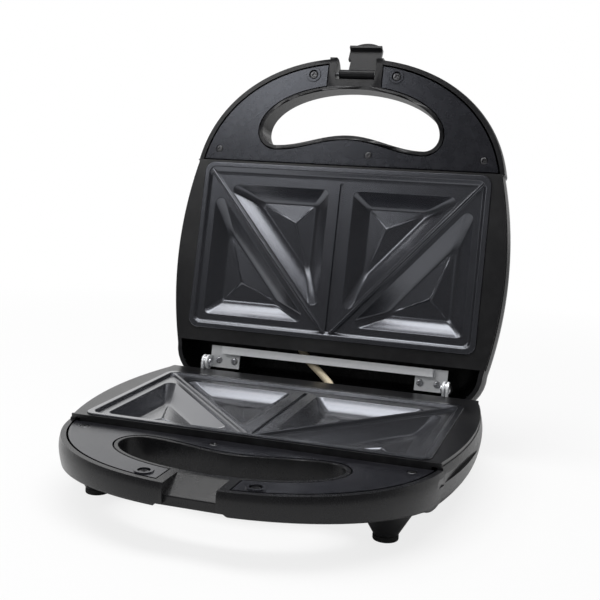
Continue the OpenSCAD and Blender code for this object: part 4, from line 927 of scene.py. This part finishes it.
def dressed(node, name, body, material, width):
    obj = addObject(name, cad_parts[node].data.copy())
    openEdit(obj)
    bpy.ops.mesh.select_all(action="SELECT")
    bpy.ops.mesh.remove_doubles(threshold=0.00001)
    bpy.ops.mesh.dissolve_limited(angle_limit=math.radians(0.5))
    closeEdit()
    breakEdges(obj, width / 1000, 2, 35)
    smooth(obj)
    register(obj, name, body, node, material)


smallPieces = [("hinge_crossbar", "hinge_rail", "lid", "zinc", "zinc", 0.22),
               ("latch", "swing_latch", "latch", "latch_black", "latch", 0.5),
               ("cord_gland", "cord_bush", "base", "soft_black", "rubber", 0.3),
               ("power_lamp_lens", "red_lens", "lid", "lens_red", "red", 0.5),
               ("ready_lamp_lens", "green_lens", "lid", "lens_green", "green", 0.5)]
for side in ("left", "right"):
    smallPieces += [("lid_hinge_leaf_" + side, side + "_leaf", "lid", "zinc", "zinc", 0.22),
                    ("base_hinge_bracket_" + side, side + "_bracket", "base", "zinc", "zinc", 0.22),
                    ("hinge_pin_" + side, side + "_pin", "base", "bright_screw", "brightScrew", 0.2),
                    ("hinge_washer_" + side, side + "_washer", "base", "bright_screw", "brightScrew", 0.1),
                    ("foot_front_" + side, "front_" + side + "_tip", "base", "soft_black", "rubber", 0.7),
                    ("foot_rear_" + side, "rear_" + side + "_tip", "base", "soft_black", "rubber", 0.7)]
for node, name, body, slot, mat, width in smallPieces:
    dressed(node, name, body, mats[mat], width)

# wiring sleeve
sleeve = {"r": 2.58, "rib": 0.2, "pitch": 1.9, "steps": 16, "sides": 24,
          "bendFrom": (0, -6, -8), "bendTo": (-30, 11, 8),
          "route": [(0, -27.3, -21.6), (0, -20.3, -16.6), (0, -13.3, -11.6), (0, -5.3, -10), (-1.5, -0.3, -6.8),
                    (-5, 2.7, -4.1), (-9, 4.7, -1.2), (-13.5, 6.7, 1.8), (-18.5, 8.9, 5), (-23.5, 12, 8.8),
                    (-28.5, 16, 13), (-33, 20.7, 17.4)]}


def wiringSleeve():
    route = [Vector((sleeveHole["x"] + x, plan["hingeY"] + y, plan["hingeZ"] + z)) for x, y, z in sleeve["route"]]
    fine = []
    for i in range(len(route) - 1):
        p0, p1, p2, p3 = route[max(i - 1, 0)], route[i], route[i + 1], route[min(i + 2, len(route) - 1)]
        for k in range(sleeve["steps"]):
            t = k / sleeve["steps"]
            fine.append(0.5 * (2 * p1 + (p2 - p0) * t + (2 * p0 - 5 * p1 + 4 * p2 - p3) * t * t
                               + (3 * p1 - p0 - 3 * p2 + p3) * t ** 3))
    fine.append(route[-1])
    rings, run = [], 0.0
    for i, p in enumerate(fine):
        if i:
            run += (p - fine[i - 1]).length
        along = (fine[min(i + 1, len(fine) - 1)] - fine[max(i - 1, 0)]).normalized()
        u = along.cross(Vector((1, 0, 0.2))).normalized()
        v = along.cross(u)
        ring = []
        wave = math.pi * run / sleeve["pitch"]
        for k in range(sleeve["sides"]):
            a = 2 * math.pi * k / sleeve["sides"]
            weave = abs(math.sin(wave + a)) * abs(math.sin(wave - a))
            r = sleeve["r"] - sleeve["rib"] + sleeve["rib"] * 2 * weave
            ring.append(p + r * (math.cos(a) * u + math.sin(a) * v))
        rings.append([tuple(q) for q in ring])
    obj = ringBody("wiring_tube", rings)
    makeActive(obj)
    bpy.ops.object.shade_smooth_by_angle(angle=math.radians(60))
    obj.matrix_world = baseMatrix
    applyTransform()
    paint(obj, mats["sleeve"])
    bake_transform(obj)
    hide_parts("wiring_sleeve")
    print("made wiring_tube", len(obj.data.polygons), "faces")


wiringSleeve()

# CAD nodes that stay, each with its finish
keptNodes = {
    "base_plate_screws": "brightScrew", "lid_plate_screws": "brightScrew", "latch_pin": "brightScrew",
    "base_heating_element": "element", "lid_heating_element": "element",
    "base_element_clamps": "zinc", "lid_element_clamps": "zinc", "base_reflector": "reflector",
    "lid_reflector": "reflector", "thermostat": "ceramic", "thermal_fuse": "ceramic", "terminal_block": "ceramic",
    "base_wires": "wire", "neon_lamps": "red",
}
for node, mat in keptNodes.items():
    paint(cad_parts[node], mats[mat])
print("finished", len(keptNodes), "kept pieces")

# camera, light and floor; the focal length is in pixels of a picture 600 wide
shot = {"focal": 1010.67, "pixels": 600, "sensor": 36, "azimuth": 17.54, "elevation": 9.3, "roll": 2.42,
        "distance": 618.1, "aimX": 8.07, "aimZ": 66.72}


def addCamera():
    a, e, r = (math.radians(shot[k]) for k in ("azimuth", "elevation", "roll"))
    backward = Vector((math.sin(a) * math.cos(e), -math.cos(a) * math.cos(e), math.sin(e)))
    right = Vector((math.cos(a), math.sin(a), 0))
    upward = backward.cross(right)
    right2 = right * math.cos(r) + upward * math.sin(r)
    up2 = -right * math.sin(r) + upward * math.cos(r)
    place = right * shot["aimX"] + upward * shot["aimZ"] + backward * shot["distance"]
    place += Vector((0, plan["platesY"], plan["rimZ"] - plan["drop"]))
    data = bpy.data.cameras.new("photo_camera")
    data.sensor_width = shot["sensor"]
    data.lens = shot["sensor"] * shot["focal"] / shot["pixels"]
    data.clip_start, data.clip_end = 0.01, 20
    cam = addObject("photo_camera", data)
    m = Matrix((right2, up2, backward)).transposed().to_4x4()
    cam.matrix_world = Matrix.Translation(place / 1000) @ m
    bpy.context.scene.camera = cam


def areaLight(name, place, aim, width, depth, power):
    data = bpy.data.lights.new(name, "AREA")
    data.shape = "RECTANGLE"
    data.size, data.size_y, data.energy = width, depth, power
    obj = addObject(name, data)
    obj.location = place
    obj.rotation_euler = (Vector(aim) - Vector(place)).to_track_quat("-Z", "Y").to_euler()


addCamera()
areaLight("key_softbox", (-0.02, 0, 1.05), (-0.02, 0, 0), 0.98, 0.4, 8.5)
areaLight("left_softbox", (-0.82, 0.1, 1.05), (-0.82, 0.1, 0), 0.3, 0.34, 2)
areaLight("front_fill", (-0.56, -0.93, 0.9), (0, 0, 0.12), 0.5, 0.3, 2.7)
print("camera and lights placed")

# white to the camera; mirrored light comes from the low rear of the studio only
studio = {"diffuse": 0.32, "mirroredLeast": 0.08, "rearward": [(0.02, 0), (0.3, 1)], "lowDown": [(0.45, 1), (0.72, 0)],
          "leftward": [(0.2, 0.2), (0.42, 1)], "skyline": [(0.12, 1), (0.2, 0)], "white": [(0.25, 0.8), (0.75, 1)]}
world = bpy.data.worlds.new("studio")
bpy.context.scene.world = world
world.use_nodes = True
wt = world.node_tree
background = wt.nodes["Background"]
lightPath = wt.nodes.new("ShaderNodeLightPath")
direction = wt.nodes.new("ShaderNodeSeparateXYZ")
link(wt, wt.nodes.new("ShaderNodeTexCoord").outputs["Generated"], direction.inputs[0])
rearward = rampNode(wt, direction.outputs["Y"], studio["rearward"])
lowDown = rampNode(wt, direction.outputs["Z"], studio["lowDown"])
leftward = rampNode(wt, mathNode(wt, "MULTIPLY", direction.outputs["X"], -1), studio["leftward"])
skyline = rampNode(wt, direction.outputs["Z"], studio["skyline"])
sided = mathNode(wt, "MAXIMUM", leftward, skyline)
bright = mathNode(wt, "MULTIPLY", mathNode(wt, "MULTIPLY", rearward, lowDown), sided)
mirrored = mathNode(wt, "ADD", bright, studio["mirroredLeast"])
extra = mathNode(wt, "SUBTRACT", mirrored, studio["diffuse"])
plain = mathNode(wt, "ADD", mathNode(wt, "MULTIPLY", lightPath.outputs["Is Glossy Ray"], extra), studio["diffuse"])
seen = mathNode(wt, "MAXIMUM", lightPath.outputs["Is Camera Ray"], lightPath.outputs["Is Transmission Ray"])
background.inputs["Color"].default_value = (1, 1, 1, 1)
link(wt, mathNode(wt, "MAXIMUM", seen, plain), background.inputs["Strength"])

bpy.ops.object.select_all(action="DESELECT")
bpy.ops.mesh.primitive_plane_add(size=12, location=(0, 0, 0))
floor = bpy.context.object
floor.name = "studio_floor"
floorMat = bpy.data.materials.new("pale floor")
floorMat.use_nodes = True
ft = floorMat.node_tree
ft.nodes["Principled BSDF"].inputs["Base Color"].default_value = (0.85, 0.85, 0.85, 1)
ft.nodes["Principled BSDF"].inputs["Roughness"].default_value = 0.9
glow = ft.nodes.new("ShaderNodeEmission")
glow.inputs["Strength"].default_value = 1.0
path = ft.nodes.new("ShaderNodeLightPath")
mixer = ft.nodes.new("ShaderNodeMixShader")
floorCoords = ft.nodes.new("ShaderNodeTexCoord")
spread = ft.nodes.new("ShaderNodeVectorMath")
spread.operation = "LENGTH"
link(ft, floorCoords.outputs["Object"], spread.inputs[0])
fade = rampNode(ft, spread.outputs["Value"], studio["white"])   # the floor keeps its shadow near the object
link(ft, mathNode(ft, "MULTIPLY", path.outputs["Is Camera Ray"], fade), mixer.inputs[0])
link(ft, ft.nodes["Principled BSDF"].outputs[0], mixer.inputs[1])
link(ft, glow.outputs[0], mixer.inputs[2])
link(ft, mixer.outputs[0], ft.nodes["Material Output"].inputs[0])
floor.data.materials.append(floorMat)

bpy.context.scene.view_settings.view_transform = "Standard"
print("scene ready")
